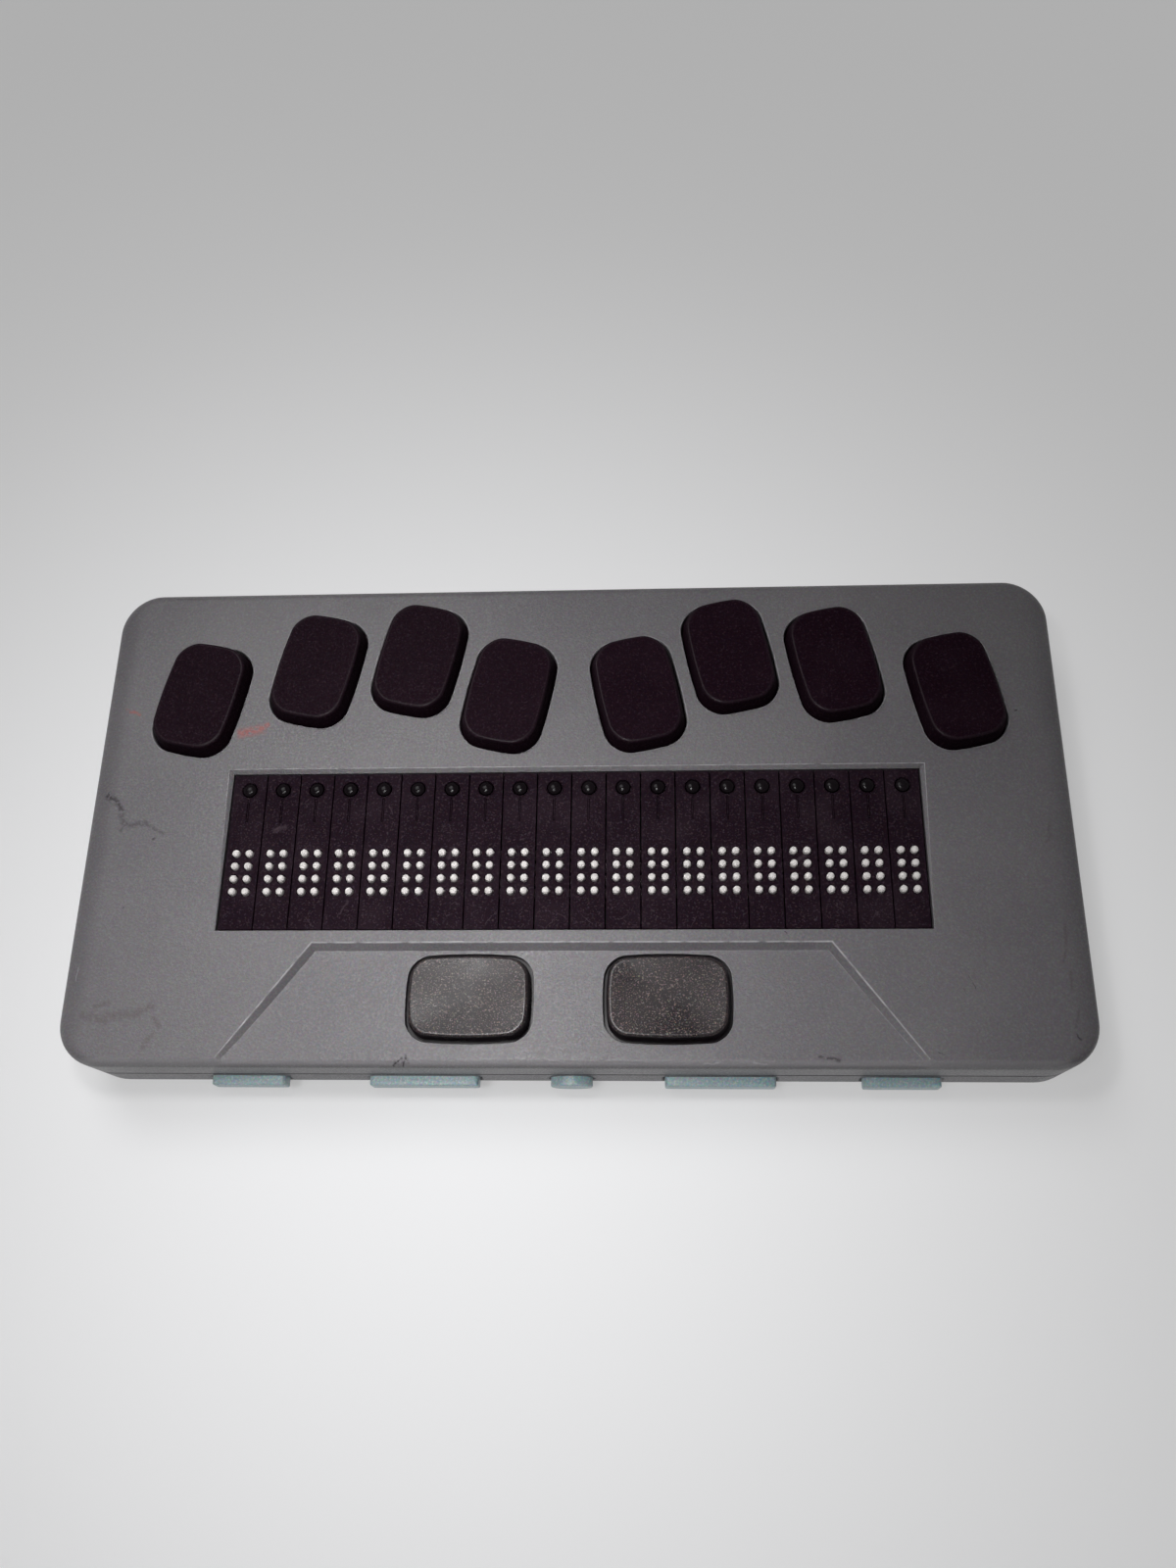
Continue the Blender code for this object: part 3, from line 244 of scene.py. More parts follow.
# %% Floor, lamps and world
FLOOR_HALF, FLOOR_ROUGHNESS = 3.0, 0.9
FLOOR_COLOUR = (0.50, 0.50, 0.51)
FLOOR_GLOW = (0.40, 0.40, 0.40)
BLACK, WHITE = (0.0, 0.0, 0.0), (1.0, 1.0, 1.0)
LAMPS = {
    "key_lamp": {
        "place": (-0.140, 0.150, 0.400), "aim": (-0.050, -0.060, 0.020),
        "size": 0.20, "watts": 0.103, "spread": 65,
    },
    "sheen_lamp": {
        "place": (-0.027, -0.0120, 0.240), "aim": (-0.015, -0.030, 0.020),
        "size": 0.030, "watts": 0.039, "spread": 80,
    },
    "front_lamp": {
        "place": (-0.100, -0.130, 0.500), "aim": (-0.020, -0.055, 0.010),
        "size": 0.12, "watts": 0.043, "spread": 40,
    },
}
WORLD_STRENGTH = 0.04
WORLD_SEEN = 0.42


def add_lamp(name, place, aim, size, watts, spread):
    """A square lamp of the given size that faces a point. A grid on it holds its light within the
    given spread in degrees, fading from the middle out."""
    data = bpy.data.lights.new(name, "AREA")
    data.size, data.energy, data.spread = size, watts, math.radians(spread)
    lamp = added(name, data)
    lamp.location = place
    lamp.rotation_euler = (Vector(aim) - Vector(place)).to_track_quat("-Z", "Y").to_euler()
    lamp.visible_camera = False


def seen(paint):
    """1 for a ray that sees or mirrors what has this paint, and 0 for one that it only lights."""
    kinds = ("Is Camera Ray", "Is Glossy Ray", "Is Transmission Ray")
    camera, glossy, through = [paint.node("ShaderNodeLightPath", out=kind) for kind in kinds]
    return camera.larger(glossy).larger(through)


class Sky(Paint):
    """The world, painted with the same nodes as a material."""

    def __init__(self, name):
        self.world = bpy.data.worlds.new(name)
        self.world.use_nodes = True
        self.tree = self.world.node_tree
        self.shader = self.tree.nodes["Background"]


for name, lamp in LAMPS.items():
    add_lamp(name, **lamp)
floor_mesh = bpy.data.meshes.new("floor")
corners = [(-FLOOR_HALF, -FLOOR_HALF, 0.0), (FLOOR_HALF, -FLOOR_HALF, 0.0)]
corners += [(FLOOR_HALF, FLOOR_HALF, 0.0), (-FLOOR_HALF, FLOOR_HALF, 0.0)]
floor_mesh.from_pydata(corners, [], [(0, 1, 2, 3)])
floor = added("floor", floor_mesh)
floor_paint = Paint("floor", FLOOR_ROUGHNESS)
floor_paint.set("Base Color", FLOOR_COLOUR)
floor_paint.set("Emission Strength", 1.0)
floor_paint.set("Emission Color", floor_paint.blend(seen(floor_paint), BLACK, FLOOR_GLOW))
floor_mesh.materials.append(floor_paint.material)
sky = Sky("studio")
sky.set("Color", WHITE)
sky.set("Strength", seen(sky) * (WORLD_SEEN - WORLD_STRENGTH) + WORLD_STRENGTH)
bpy.context.scene.world = sky.world
bpy.context.scene.view_settings.view_transform = "Standard"
print("floor, three lamps and a pale world")

# %% [markdown]
# Most pieces here are an outline carried up through a few heights. The outline is a rectangle
# with round corners whose sides may swell a little. Each outline has the same number of points,
# so that two of them join with plain four-sided faces, whatever their sizes.

# %% Outlines, rings and meshes
CORNER_STEPS, SIDE_STEPS = 8, 6
OPEN, FIRST_FILLED, LAST_FILLED, BOTH_FILLED = (False, False), (True, False), (False, True), (True, True)
MERGE_DISTANCE = 1e-7
SHARP_ANGLE = 35


def outline(width, depth, radius, bulge=0.0, corner_steps=CORNER_STEPS, side_steps=SIDE_STEPS):
    """Anticlockwise points of a rounded rectangle. Each corner is a quarter circle and each side an
    even row of points. A side then moves out by the bulge times 1 minus its squared share of the
    way from the middle to the corner."""
    half = np.array([width / 2 - bulge, depth / 2 - bulge])
    radius = min(radius, *half)
    turns = np.linspace(0, math.pi / 2, corner_steps + 1)
    arcs = []
    for quarter, signs in enumerate(((1, 1), (-1, 1), (-1, -1), (1, -1))):
        angle = turns + quarter * math.pi / 2
        arc = np.stack([np.cos(angle), np.sin(angle)], axis=1)
        arcs.append((half - radius) * signs + radius * arc)
    shares = np.linspace(0, 1, side_steps + 1)[1:-1, None]
    parts = []
    for arc, following in zip(arcs, arcs[1:] + arcs[:1]):
        parts += [arc, arc[-1] + shares * (following[0] - arc[-1])]
    points = np.concatenate(parts)
    share = points / half
    return points * (1 + bulge / half * (1 - np.minimum(share[:, ::-1] ** 2, 1)))


def circle(radius, x=0.0, y=0.0, sides=16):
    """Even points on a circle, anticlockwise."""
    turns = (np.arange(sides) + 0.5) * 2 * math.pi / sides
    return np.column_stack([x + radius * np.cos(turns), y + radius * np.sin(turns)])


def turned(points, angle):
    """Points turned about the origin, anticlockwise seen from above."""
    c, s = math.cos(angle), math.sin(angle)
    return points @ np.array([[c, s], [-s, c]])


def level(points, *values):
    """Flat points with a height, and maybe more values. Each is one number, or one for each point."""
    return np.column_stack([points] + [np.broadcast_to(value, len(points)) for value in values])


def quarter(radius, count):
    """Points on a quarter circle between two straight lines: how far each lies from either. The
    first distance is the radius times 1 minus sine, and the second the same with cosine."""
    turns = np.linspace(0, math.pi / 2, count)
    return [(radius * (1 - math.sin(a)), radius * (1 - math.cos(a))) for a in turns]


def loft(rings, caps=BOTH_FILLED, closed=True):
    """Faces between rings of equally many points. Points i and i + 1 of one ring and of the next
    make a face. caps says whether the first and the last ring are filled."""
    rows, count = len(rings), len(rings[0])
    near = np.arange(count if closed else count - 1)
    far = (near + 1) % count
    base = np.arange(rows - 1)[:, None] * count
    corners = [base + near, base + far, base + far + count, base + near + count]
    quads = np.stack(corners, axis=-1)
    faces = quads.reshape(-1, 4).tolist()
    if caps[0]:
        faces.append(list(range(count))[::-1])
    if caps[1]:
        faces.append(list(range((rows - 1) * count, rows * count)))
    return np.concatenate(rings), faces


def joined(parts):
    """Several (points, faces) pairs as one pair."""
    starts = np.cumsum([0] + [len(points) for points, _ in parts])
    faces = []
    for (_, some), start in zip(parts, starts.tolist()):
        faces += [[i + start for i in face] for face in some]
    return np.concatenate([points for points, _ in parts]), faces


def face_outwards(mesh, merge=0.0):
    """Merges points closer than the given distance and turns every face outwards."""
    bm = bmesh.new()
    bm.from_mesh(mesh)
    if merge:
        bmesh.ops.remove_doubles(bm, verts=bm.verts, dist=merge)
    bmesh.ops.recalc_face_normals(bm, faces=bm.faces)
    bm.to_mesh(mesh)
    bm.free()


def put(name, shape, finish, body="case", nodes=(), slot=None, sharp=SHARP_ANGLE):
    """A finished piece from points and faces. A fourth value of a point says how far it lies on a
    rim, which wears and which the case also paints lighter as a highlight. Edges that turn by more than the
    sharp angle, in degrees, stay sharp."""
    points, faces = shape
    mesh = bpy.data.meshes.new(name)
    mesh.from_pydata(points[:, :3].tolist(), [], faces)
    if points.shape[1] == 4:
        mesh.attributes.new("rim", "FLOAT", "POINT").data.foreach_set("value", points[:, 3])
    face_outwards(mesh, MERGE_DISTANCE)
    mesh.materials.append(finish)
    mesh.shade_smooth()
    mesh.set_sharp_from_angle(angle=math.radians(sharp))
    piece = added(name, mesh)
    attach(piece, body)
    if nodes:
        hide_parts(*nodes)
    return piece


print("shape tools ready")

# %% [markdown]
# The case is moulded in a mid grey plastic with a fine spark-eroded grain, which scatters a lamp
# into a soft sheen. Hands have darkened it unevenly, and it has a few scuffs. The grain is a Bump
# from small noise, the stains are cloudy noise, and each scuff is a soft oblong patch. Its rims are
# painted lighter, partly as wear and partly as a painted highlight, and the top of its front edge
# is a painted highlight.

# %% Case finish
CASE_WIDTH, CASE_DEPTH, TOP_Z = 0.1830, 0.094226, 0.0200
FRONT_Y, REAR_Y = (corner.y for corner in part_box("top_case"))
MIDDLE_Y = (FRONT_Y + REAR_Y) / 2
CASE_GREY, CASE_DARKER = display_colour(110, 107, 110), display_colour(99, 96, 100)
BASE_GREY, BASE_DARKER = display_colour(92, 89, 94), display_colour(80, 77, 83)
# The lighter grey of grain, chips and worn rims, which also paints the highlights on rims and the front
# edge.
CASE_WEAR_AND_HIGHLIGHT = display_colour(164, 162, 165)
SCUFF_DARK = display_colour(38, 30, 36)
# Marks of each kind: their colour, their strength, and for each mark its x, y, turn in degrees,
# length and width in millimetres. Later kinds lie over earlier ones.
MARKS = {
    "brown": (display_colour(78, 70, 64), 0.42, [
        (-84.4, -38.0, -14, 6.4, 2.6), (-79.5, -37.4, 6, 8.0, 2.8), (-75.8, -36.6, 30, 5.4, 2.2),
        (-73.2, -38.6, -50, 3.4, 1.4), (-74.3, -41.9, 60, 4.4, 1.4), (-83.4, -35.6, 20, 4.0, 1.4),
        (86.4, -3.5, 80, 3.4, 0.9), (86.2, -5.4, 60, 2.6, 0.7), (86.9, -23.5, 84, 4.6, 1.0),
        (86.4, -27.0, 70, 3.0, 0.8), (87.0, -31.3, 88, 4.2, 0.9), (87.2, -38.0, 76, 3.8, 0.9),
    ]),
    "faint": (SCUFF_DARK, 0.50, [
        (-84.7, -0.4, -70, 3.8, 2.4), (-82.0, -1.5, 6, 5.6, 2.0), (-78.3, -2.4, -27, 5.4, 1.1),
        (-84.3, -2.0, 60, 2.6, 1.2), (-28.9, -45.4, 10, 3.2, 1.6),
    ]),
    "red": (display_colour(168, 78, 72), 0.6, [
        (-61.9, 17.3, 12, 6.4, 3.2), (-59.9, 18.1, 24, 3.6, 1.8), (-85.8, 21.6, -20, 4.2, 0.9),
    ]),
    "dark": (SCUFF_DARK, 0.85, [
        (-87.3, 3.7, -33, 3.6, 2.2), (-85.5, 1.9, -62, 2.6, 1.4), (87.1, -41.1, -58, 1.7, 0.6),
        (70.2, -31.7, -67, 3.2, 0.18), (68.8, -33.3, -60, 1.4, 0.15), (83.0, 19.8, 0, 0.7, 0.5),
        (45.0, -44.7, -10, 4.6, 1.0), (38.4, -22.7, -45, 1.9, 0.3), (-29.6, -45.4, 40, 2.6, 0.6),
        (-28.4, -45.2, 75, 2.4, 0.5), (61.4, -32.1, 20, 1.2, 0.15), (63.7, -43.9, -35, 1.5, 0.15),
        (-78.1, -4.4, 20, 0.9, 0.4), (-82.2, -17.9, 70, 0.9, 0.35),
    ]),
    "chips": (CASE_WEAR_AND_HIGHLIGHT, 0.7, [
        (24.8, -45.6, 4, 3.2, 0.35), (33.2, -45.6, -3, 3.0, 0.35), (-88.9, -30.0, 85, 3.0, 0.3),
    ]),
}
# Noise: the size of its patches in metres, its detail and its seed
CASE_GRAIN, CASE_FINE_GRAIN = (0.00042, 2.0), (0.00014, 1.0, 3.0)
CASE_RAGGED, CASE_UNEVEN = (0.0011, 3.0, 7.0), (0.012, 2.0, 5.0)
# Patches: the same, and then the noise's values at which they begin and are full
CASE_CLOUDS, CASE_GLINTS = (0.030, 3.0, 0.0, 0.35, 0.68), (0.00040, 1.0, 13.0, 0.48, 0.64)
CASE_SCUFFED, CASE_RIM_PATCHES = (0.0007, 2.0, 11.0, 0.30, 0.52), (0.0022, 3.0, 9.0, 0.25, 0.62)
CASE_SHINE, CASE_GLINT_ROUGHNESS, CASE_GLINT_STRENGTH = 0.30, 0.34, 0.38
CLOUD_STRENGTH, GRAIN_STRENGTH, GRAIN_RANGE = 0.7, 0.14, (0.45, 0.75)
SPECK_SIZE, SPECK_STRENGTH = 0.00038, 0.26
GRAIN_DEPTH, GRAIN_SHARE, FINE_SHARE = 0.00011, 0.7, 0.3
MARK_WOBBLE, SCUFF_ROUGHER = 0.0009, 0.12
ROUGHNESS_LEAST, ROUGHNESS_RANGE = 0.33, 0.10
FRONT_EDGE_Y, FRONT_EDGE_Z, FRONT_EDGE_HIGHLIGHT = (1.6 * MM, 0.5 * MM), (0.0182, 0.0193), 0.55


def any_smear(paint, marks, wobble):
    """The strongest of several patches at each point."""
    total = paint.smear(marks[0], wobble)
    for mark in marks[1:]:
        total = total.larger(paint.smear(mark, wobble))
    return total


def case_finish(name, colour, darker, marked):
    """Grained grey plastic: clouds, grain and specks, and where it is marked its lighter rims, partly
    wear and partly painted highlight, a painted highlight along the front edge, and the marks over them.
    Dark and brown marks also make it rougher."""
    paint = Paint(name)
    grain, fine = paint.noise(*CASE_GRAIN), paint.noise(*CASE_FINE_GRAIN)
    tone = paint.blend(paint.patches(*CASE_CLOUDS) * CLOUD_STRENGTH, colour, darker)
    tone = paint.blend(paint.step(grain, *GRAIN_RANGE) * GRAIN_STRENGTH, tone, CASE_WEAR_AND_HIGHLIGHT)
    tone = paint.speckled(tone, SPECK_SIZE, SPECK_STRENGTH)
    roughness = paint.noise(*CASE_UNEVEN) * ROUGHNESS_RANGE + ROUGHNESS_LEAST
    if marked:
        _, y, z = paint.axes()
        # A band along the top of the front edge is painted lighter: a painted highlight where the edge
        # rounds off.
        from_front = paint.step(y, FRONT_Y + FRONT_EDGE_Y[0], FRONT_Y + FRONT_EDGE_Y[1])
        edge = from_front * paint.step(z, *FRONT_EDGE_Z) * FRONT_EDGE_HIGHLIGHT
        # Rims are painted lighter in patches, partly as wear and partly as a painted highlight, and so is
        # the front edge's band.
        tone = paint.blend((paint.rim() * paint.patches(*CASE_RIM_PATCHES)).larger(edge), tone, CASE_WEAR_AND_HIGHLIGHT)
        ragged = (paint.noise(*CASE_RAGGED) - 0.5) * MARK_WOBBLE
        scuffed = paint.patches(*CASE_SCUFFED)
        masks = {}
        for kind, (mark_colour, strength, marks) in MARKS.items():
            mask = any_smear(paint, marks, ragged)
            masks[kind] = mask if kind == "chips" else mask * scuffed
            tone = paint.blend(masks[kind] * strength, tone, mark_colour)
        roughness = roughness + masks["dark"].larger(masks["brown"]) * SCUFF_ROUGHER
    paint.set("Base Color", tone)
    paint.set("Roughness", roughness)
    paint.set("Specular IOR Level", CASE_SHINE)
    paint.set("Coat Roughness", CASE_GLINT_ROUGHNESS)
    paint.set("Coat Weight", paint.patches(*CASE_GLINTS) * CASE_GLINT_STRENGTH)
    paint.bump(grain * GRAIN_SHARE + fine * FINE_SHARE, GRAIN_DEPTH)
    return paint.material


CASE_FINISH = case_finish("case_grey", CASE_GREY, CASE_DARKER, marked=True)
BASE_FINISH = case_finish("base_grey", BASE_GREY, BASE_DARKER, marked=False)
print("case from y", round(FRONT_Y, 5), "to", round(REAR_Y, 5))

# %% [markdown]
# The keys are a near-black plastic with a dry, even grain. The tops of the two space keys have a
# finer one with strong pale warm flecks in their colour, partly grain and partly a painted sparkle
# and sheen, and their sides keep the plain colour. The braille cells are plainer
# and more matt. The routing buttons are polished black, and the thumb keys are a greyed teal.

# %% Key, cell, pin and thumb finishes
SMUDGES = (0.009, 3.0, 2.0, 0.42, 0.72)
SMUDGE_ROUGHER = 0.10
FLECK_RANGE = (0.50, 0.80)
GLITTER_SIZE, GLITTER_DETAIL, GLITTER_SEED, GLITTER_RANGE = 0.9, 1.0, 13.0, (0.46, 0.62)
COAT_ROUGHNESS = 0.30
SCRATCH_RAGGED, SCRATCH_WOBBLE, SCRATCH_STRENGTH = (0.0009, 3.0, 7.0), 0.0012, 0.30
TOP_FADE = (0.0006, 0.0002)


def grainy(
    name, colour, lighter, roughness, grain_size, depth, fleck=0.2, smudge=0.25,
    metallic=0.0, shine=0.5, glitter=0.0, rim=0.4, marks=(), top=None,
):
    """A moulded plastic: cloudy smudges, a fine grain in colour and height, and uneven gloss. Worn
    rims and the glittering part of the grain are polished, as a thin coat on top. Where a height of
    the top is given, the sides under it have the plain colour."""
    colour, lighter = display_colour(*colour), display_colour(*lighter)
    paint = Paint(name, metallic=metallic)
    polished = paint.rim() * rim
    if glitter:
        sparks = paint.noise(grain_size * GLITTER_SIZE, GLITTER_DETAIL, GLITTER_SEED)
        polished = polished + paint.step(sparks, *GLITTER_RANGE) * glitter
    grain, smudges = paint.noise(grain_size), paint.patches(*SMUDGES)
    tone = paint.blend(paint.step(grain, *FLECK_RANGE) * fleck, colour, lighter)
    tone = paint.speckled(tone, grain_size, fleck)
    if marks:
        ragged = (paint.noise(*SCRATCH_RAGGED) - 0.5) * SCRATCH_WOBBLE
        tone = paint.blend(any_smear(paint, marks, ragged) * SCRATCH_STRENGTH, tone, lighter)
    tone = paint.blend(smudges * smudge, tone, lighter)
    if top:
        height = paint.axes()[2]
        tone = paint.blend(paint.step(height, top - TOP_FADE[0], top - TOP_FADE[1]), colour, tone)
    paint.set("Base Color", tone)
    paint.set("Roughness", smudges * SMUDGE_ROUGHER + (roughness - SMUDGE_ROUGHER / 2))
    paint.set("Specular IOR Level", shine)
    paint.set("Coat Roughness", COAT_ROUGHNESS)
    paint.set("Coat Weight", polished)
    paint.bump(grain, depth)
    return paint.material


# Pale scratches and smudges: x, y, turn in degrees, length and width, in millimetres
KEY_MARKS = [(-77.4, 16.4, 30, 0.5, 0.4), (-68.6, 28.4, 75, 1.6, 0.2), (-71.0, 15.6, -15, 2.6, 0.15)]
CELL_MARKS = [
    (-54.5, -2.5, 15, 3.2, 1.6), (-41.3, -17.7, 62, 3.6, 0.7), (-22.0, -7.5, 60, 3.0, 1.3),
    (-26.8, -21.2, -28, 3.2, 0.3), (-24.2, -20.4, -40, 2.6, 0.25), (-14.2, -19.6, 52, 4.2, 0.25),
    (-3.4, -20.8, 48, 3.4, 0.25), (-1.6, -19.2, -36, 2.8, 0.25), (3.1, -20.1, -44, 3.6, 0.25),
    (9.4, -19.8, 28, 2.8, 0.25), (22.3, -20.6, 64, 2.6, 0.25), (-47.6, -20.2, -52, 2.6, 0.25),
    (18.3, 5.6, 86, 3.0, 0.25), (41.8, -8.8, 30, 2.6, 0.8), (-33.8, 1.2, -70, 2.6, 0.3),
    (54.4, -19.5, 40, 2.4, 0.3),
]
# In each finish: the colour, the lighter colour of its grain, the roughness, the grain's size and depth
KEY_FINISH = grainy(
    "key_black", (27, 13, 22), (66, 50, 60), 0.50, 0.00040, 0.00006,
    fleck=0.40, smudge=0.06, shine=0.01, glitter=0.04, rim=0.14, marks=KEY_MARKS,
)
# The space keys' pale flecks on the top are partly grain and partly painted sparkle and sheen; the sides
# stay plain.
SPACE_FINISH = grainy(
    "space_black", (20, 11, 17), (150, 132, 127), 0.32, 0.00026, 0.00001,
    fleck=0.85, smudge=0.02, shine=0.185, top=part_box("space_left_key")[1].z,
)
CELL_FINISH = grainy(
    "cell_black", (29, 17, 26), (92, 78, 86), 0.58, 0.00034, 0.00004,
    fleck=0.40, smudge=0.08, shine=0.02, marks=CELL_MARKS,
)
ROUTER_FINISH = grainy(
    "router_black", (12, 6, 10), (36, 28, 34), 0.20, 0.00060, 0.000004,
    fleck=0.1, smudge=0.1, shine=0.10,
)
DOT_FINISH = grainy(
    "dot_white", (234, 229, 227), (222, 218, 214), 0.70, 0.00060, 0.000003,
    fleck=0.03, smudge=0.03, shine=0.1,
)
THUMB_FINISH = grainy(
    "thumb_teal", (178, 206, 212), (240, 248, 250), 0.38, 0.00040, 0.00006,
    fleck=0.70, smudge=0.2, glitter=0.5,
)
RUBBER_FINISH = grainy("foot_rubber", (36, 36, 37), (70, 70, 70), 0.85, 0.0005, 0.00010)
STEEL_FINISH = grainy("steel", (186, 187, 190), (210, 210, 212), 0.32, 0.0008, 0.00001, metallic=1.0)
LIGHT_FINISH = grainy("light_pipe", (96, 170, 108), (150, 210, 156), 0.22, 0.0006, 0.00001)
print("finishes:", len(bpy.data.materials))

# %% [markdown]
# The upper shell is one moulding: a flat top that rounds off at its four sides, ten openings for
# keys, a window for the braille cells with a sloping rim, and a shallow recess round the space
# keys. It could be cut from a block, but small roundings on cut edges come out uneven. Here each
# rounding is a strip of its own, and flat triangles fill what lies between the strips.

# %% Upper shell: places and sizes
CORNER_RADIUS = 0.0082
SIDE_EDGE_RUN, REAR_EDGE_RUN, FRONT_EDGE_RUN = 0.0052, 0.0020, 0.0014
TOP_EDGE_DROP, TOP_EDGE_STEPS = 0.0024, 13
SIDE_WALL = 0.0022
CEILING_Z = 0.0178
SEAM_Z, SEAM_EDGE = 0.0111, 0.00025
POST_RADIUS, POST_INSET = 0.0032, 0.0085
POST_XS = (-CASE_WIDTH / 2 + POST_INSET, CASE_WIDTH / 2 - POST_INSET)
POST_PLACES = [(x, y) for x in POST_XS for y in (FRONT_Y + POST_INSET, REAR_Y - POST_INSET)]
CELL_COUNT, CELL_PITCH = 20, 0.00642
CELLS_WIDTH = CELL_COUNT * CELL_PITCH
CELLS_FRONT_Y, CELLS_REAR_Y = FRONT_Y + 0.0245, FRONT_Y + 0.0546
WINDOW_GAP = 0.00025
WINDOW_BEVEL, WINDOW_BEVEL_FALL = 0.00085, 0.6
WINDOW_FRONT_BEVEL, WINDOW_EASE = 0.00012, 0.1
WINDOW_RINGS = (1.35, 1.10, 1.05, 1.0, 0.95, 0.90, 0.5, 0.10, 0.0, None)
KEY_SIZE = {"width": 0.0156, "depth": 0.0227, "radius": 0.0039, "bulge": 0.0006}
SPACE_SIZE = {"width": 0.0216, "depth": 0.0149, "radius": 0.0028, "bulge": 0.0006}
KEY_GAP, SPACE_GAP = 0.0004, 0.00065
# The openings' fillets are marked by this share to be painted lighter: partly wear, partly a painted
# highlight.
KEY_FILLET, SPACE_FILLET, OPENING_WEAR_AND_HIGHLIGHT = 0.00025, 0.00008, 0.5
FILLET_MARGIN, FILLET_STEPS, CORNER_KEPT = 1.25, 5, 0.4
KEY_TURN = math.radians(12)
FAN_GAP, FAN_RISE = 0.0038, 0.0078
# The two keys of a pair, their share of the way from the middle to the side, and of the fan's rise
FAN = ((1, 4, 0.1355, 0.02), (2, 5, 0.3284, 1.0), (3, 6, 0.5448, 0.75), (7, 8, 0.7891, 0.0))
SPACE_X, SPACE_Y = 0.0175, CELLS_FRONT_Y - 0.0125
SPACE_PLACES = [("space_left", -SPACE_X, SPACE_Y, 0.0), ("space_right", SPACE_X, SPACE_Y, 0.0)]
RECESS_DROP, RECESS_FRONT_DROP = 0.00108, 0.00050
RECESS_BAND = np.array([0.00058, 0.00138])
RECESS_FRONT_BAND = np.array([0.00110, 0.0])
RECESS_REAR_HALF, RECESS_FRONT_HALF = 0.0465, 0.0618
RECESS_REAR_Y = CELLS_FRONT_Y - 0.0025
RECESS_FRONT_Y = FRONT_Y + FRONT_EDGE_RUN + 0.00015
RECESS_EASE_TOP, RECESS_EASE_FOOT = 0.14, 0.05
RECESS_ROWS = (1.25, 1.14, 1.07, 1.0, 0.93, 0.86, 0.5, 0.05, 0.02, -0.02, -0.05)
# The recess's rim and foot are marked by these shares to be painted lighter: the rim partly as wear and
# partly as a painted highlight, the foot as a lighter line.
RECESS_RIM_WEAR_AND_HIGHLIGHT, RECESS_FOOT_LIGHTER = 0.9, 0.5
POST_SIDES = 28
# The lattice over the recess floor: its first and last place and its step, across and along
LATTICE_X, LATTICE_Y = (-0.0598, 0.0600, 0.0016), (-0.0445, -0.0264, 0.0008)
LATTICE_FOOT_GAP, LATTICE_KEY_GROWTH = 0.0003, 1.03


def recess_floor(y):
    """The floor is deepest at the foot of the rear wall. It climbs by the squared share of the way
    to the front line, where it still lies a little lower than the flat top."""
    foot_y = RECESS_REAR_Y - RECESS_BAND[1]
    share = np.clip((foot_y - y) / (foot_y - RECESS_FRONT_Y), 0, 1)
    return TOP_Z - RECESS_DROP + (RECESS_DROP - RECESS_FRONT_DROP) * share**2


def key_outline(size, grow, side_steps=SIDE_STEPS):
    """A key's outline, grown or shrunk. Its corners stay rounder than its sides when it shrinks."""
    radius = size["radius"] + grow * (1.0 if grow > 0 else CORNER_KEPT)
    width, depth = size["width"] + 2 * grow, size["depth"] + 2 * grow
    return outline(width, depth, radius, size["bulge"], side_steps=side_steps)


def key_places():
    """Name, x, y and turn of the eight braille keys: one hand's fan and its mirror image."""
    reach = KEY_SIZE["depth"] / 2 * math.cos(KEY_TURN) + KEY_SIZE["width"] / 4 * math.sin(KEY_TURN)
    places = []
    for left, right, across, rise in FAN:
        x, y = across * CASE_WIDTH / 2, CELLS_REAR_Y + FAN_GAP + reach + FAN_RISE * rise
        places += [(f"dot_{left}", -x, y, -KEY_TURN), (f"dot_{right}", x, y, KEY_TURN)]
    return places


print("key places:", [place[0] for place in key_places() + SPACE_PLACES])

# %% Upper shell: the strips


def case_ring(side_inset, front_inset, rear_inset):
    """The case seen from above, drawn in by its own amount at the sides, the front and the rear."""
    inset = max(side_inset, front_inset, rear_inset)
    width, depth = CASE_WIDTH - 2 * side_inset, CASE_DEPTH - front_inset - rear_inset
    radius = max(CORNER_RADIUS - inset, CORNER_RADIUS / 4)
    ring = outline(width, depth, radius, corner_steps=14, side_steps=4)
    return ring + [0.0, MIDDLE_Y + (front_inset - rear_inset) / 2]


def opening_strip(x, y, turn, size, surface, fillet, gap):
    """Rings from the flat surface over a quarter circle and down the wall to the ceiling."""
    rings = []
    for grow, drop in [(fillet * FILLET_MARGIN, 0.0), *quarter(fillet, FILLET_STEPS), (0.0, None)]:
        flat = turned(key_outline(size, gap + grow, side_steps=4), turn) + [x, y]
        height = CEILING_Z if drop is None else surface(flat[:, 1]) - drop
        rings.append(level(flat, height, OPENING_WEAR_AND_HIGHLIGHT if 0 < grow <= fillet else 0.0))
    return rings


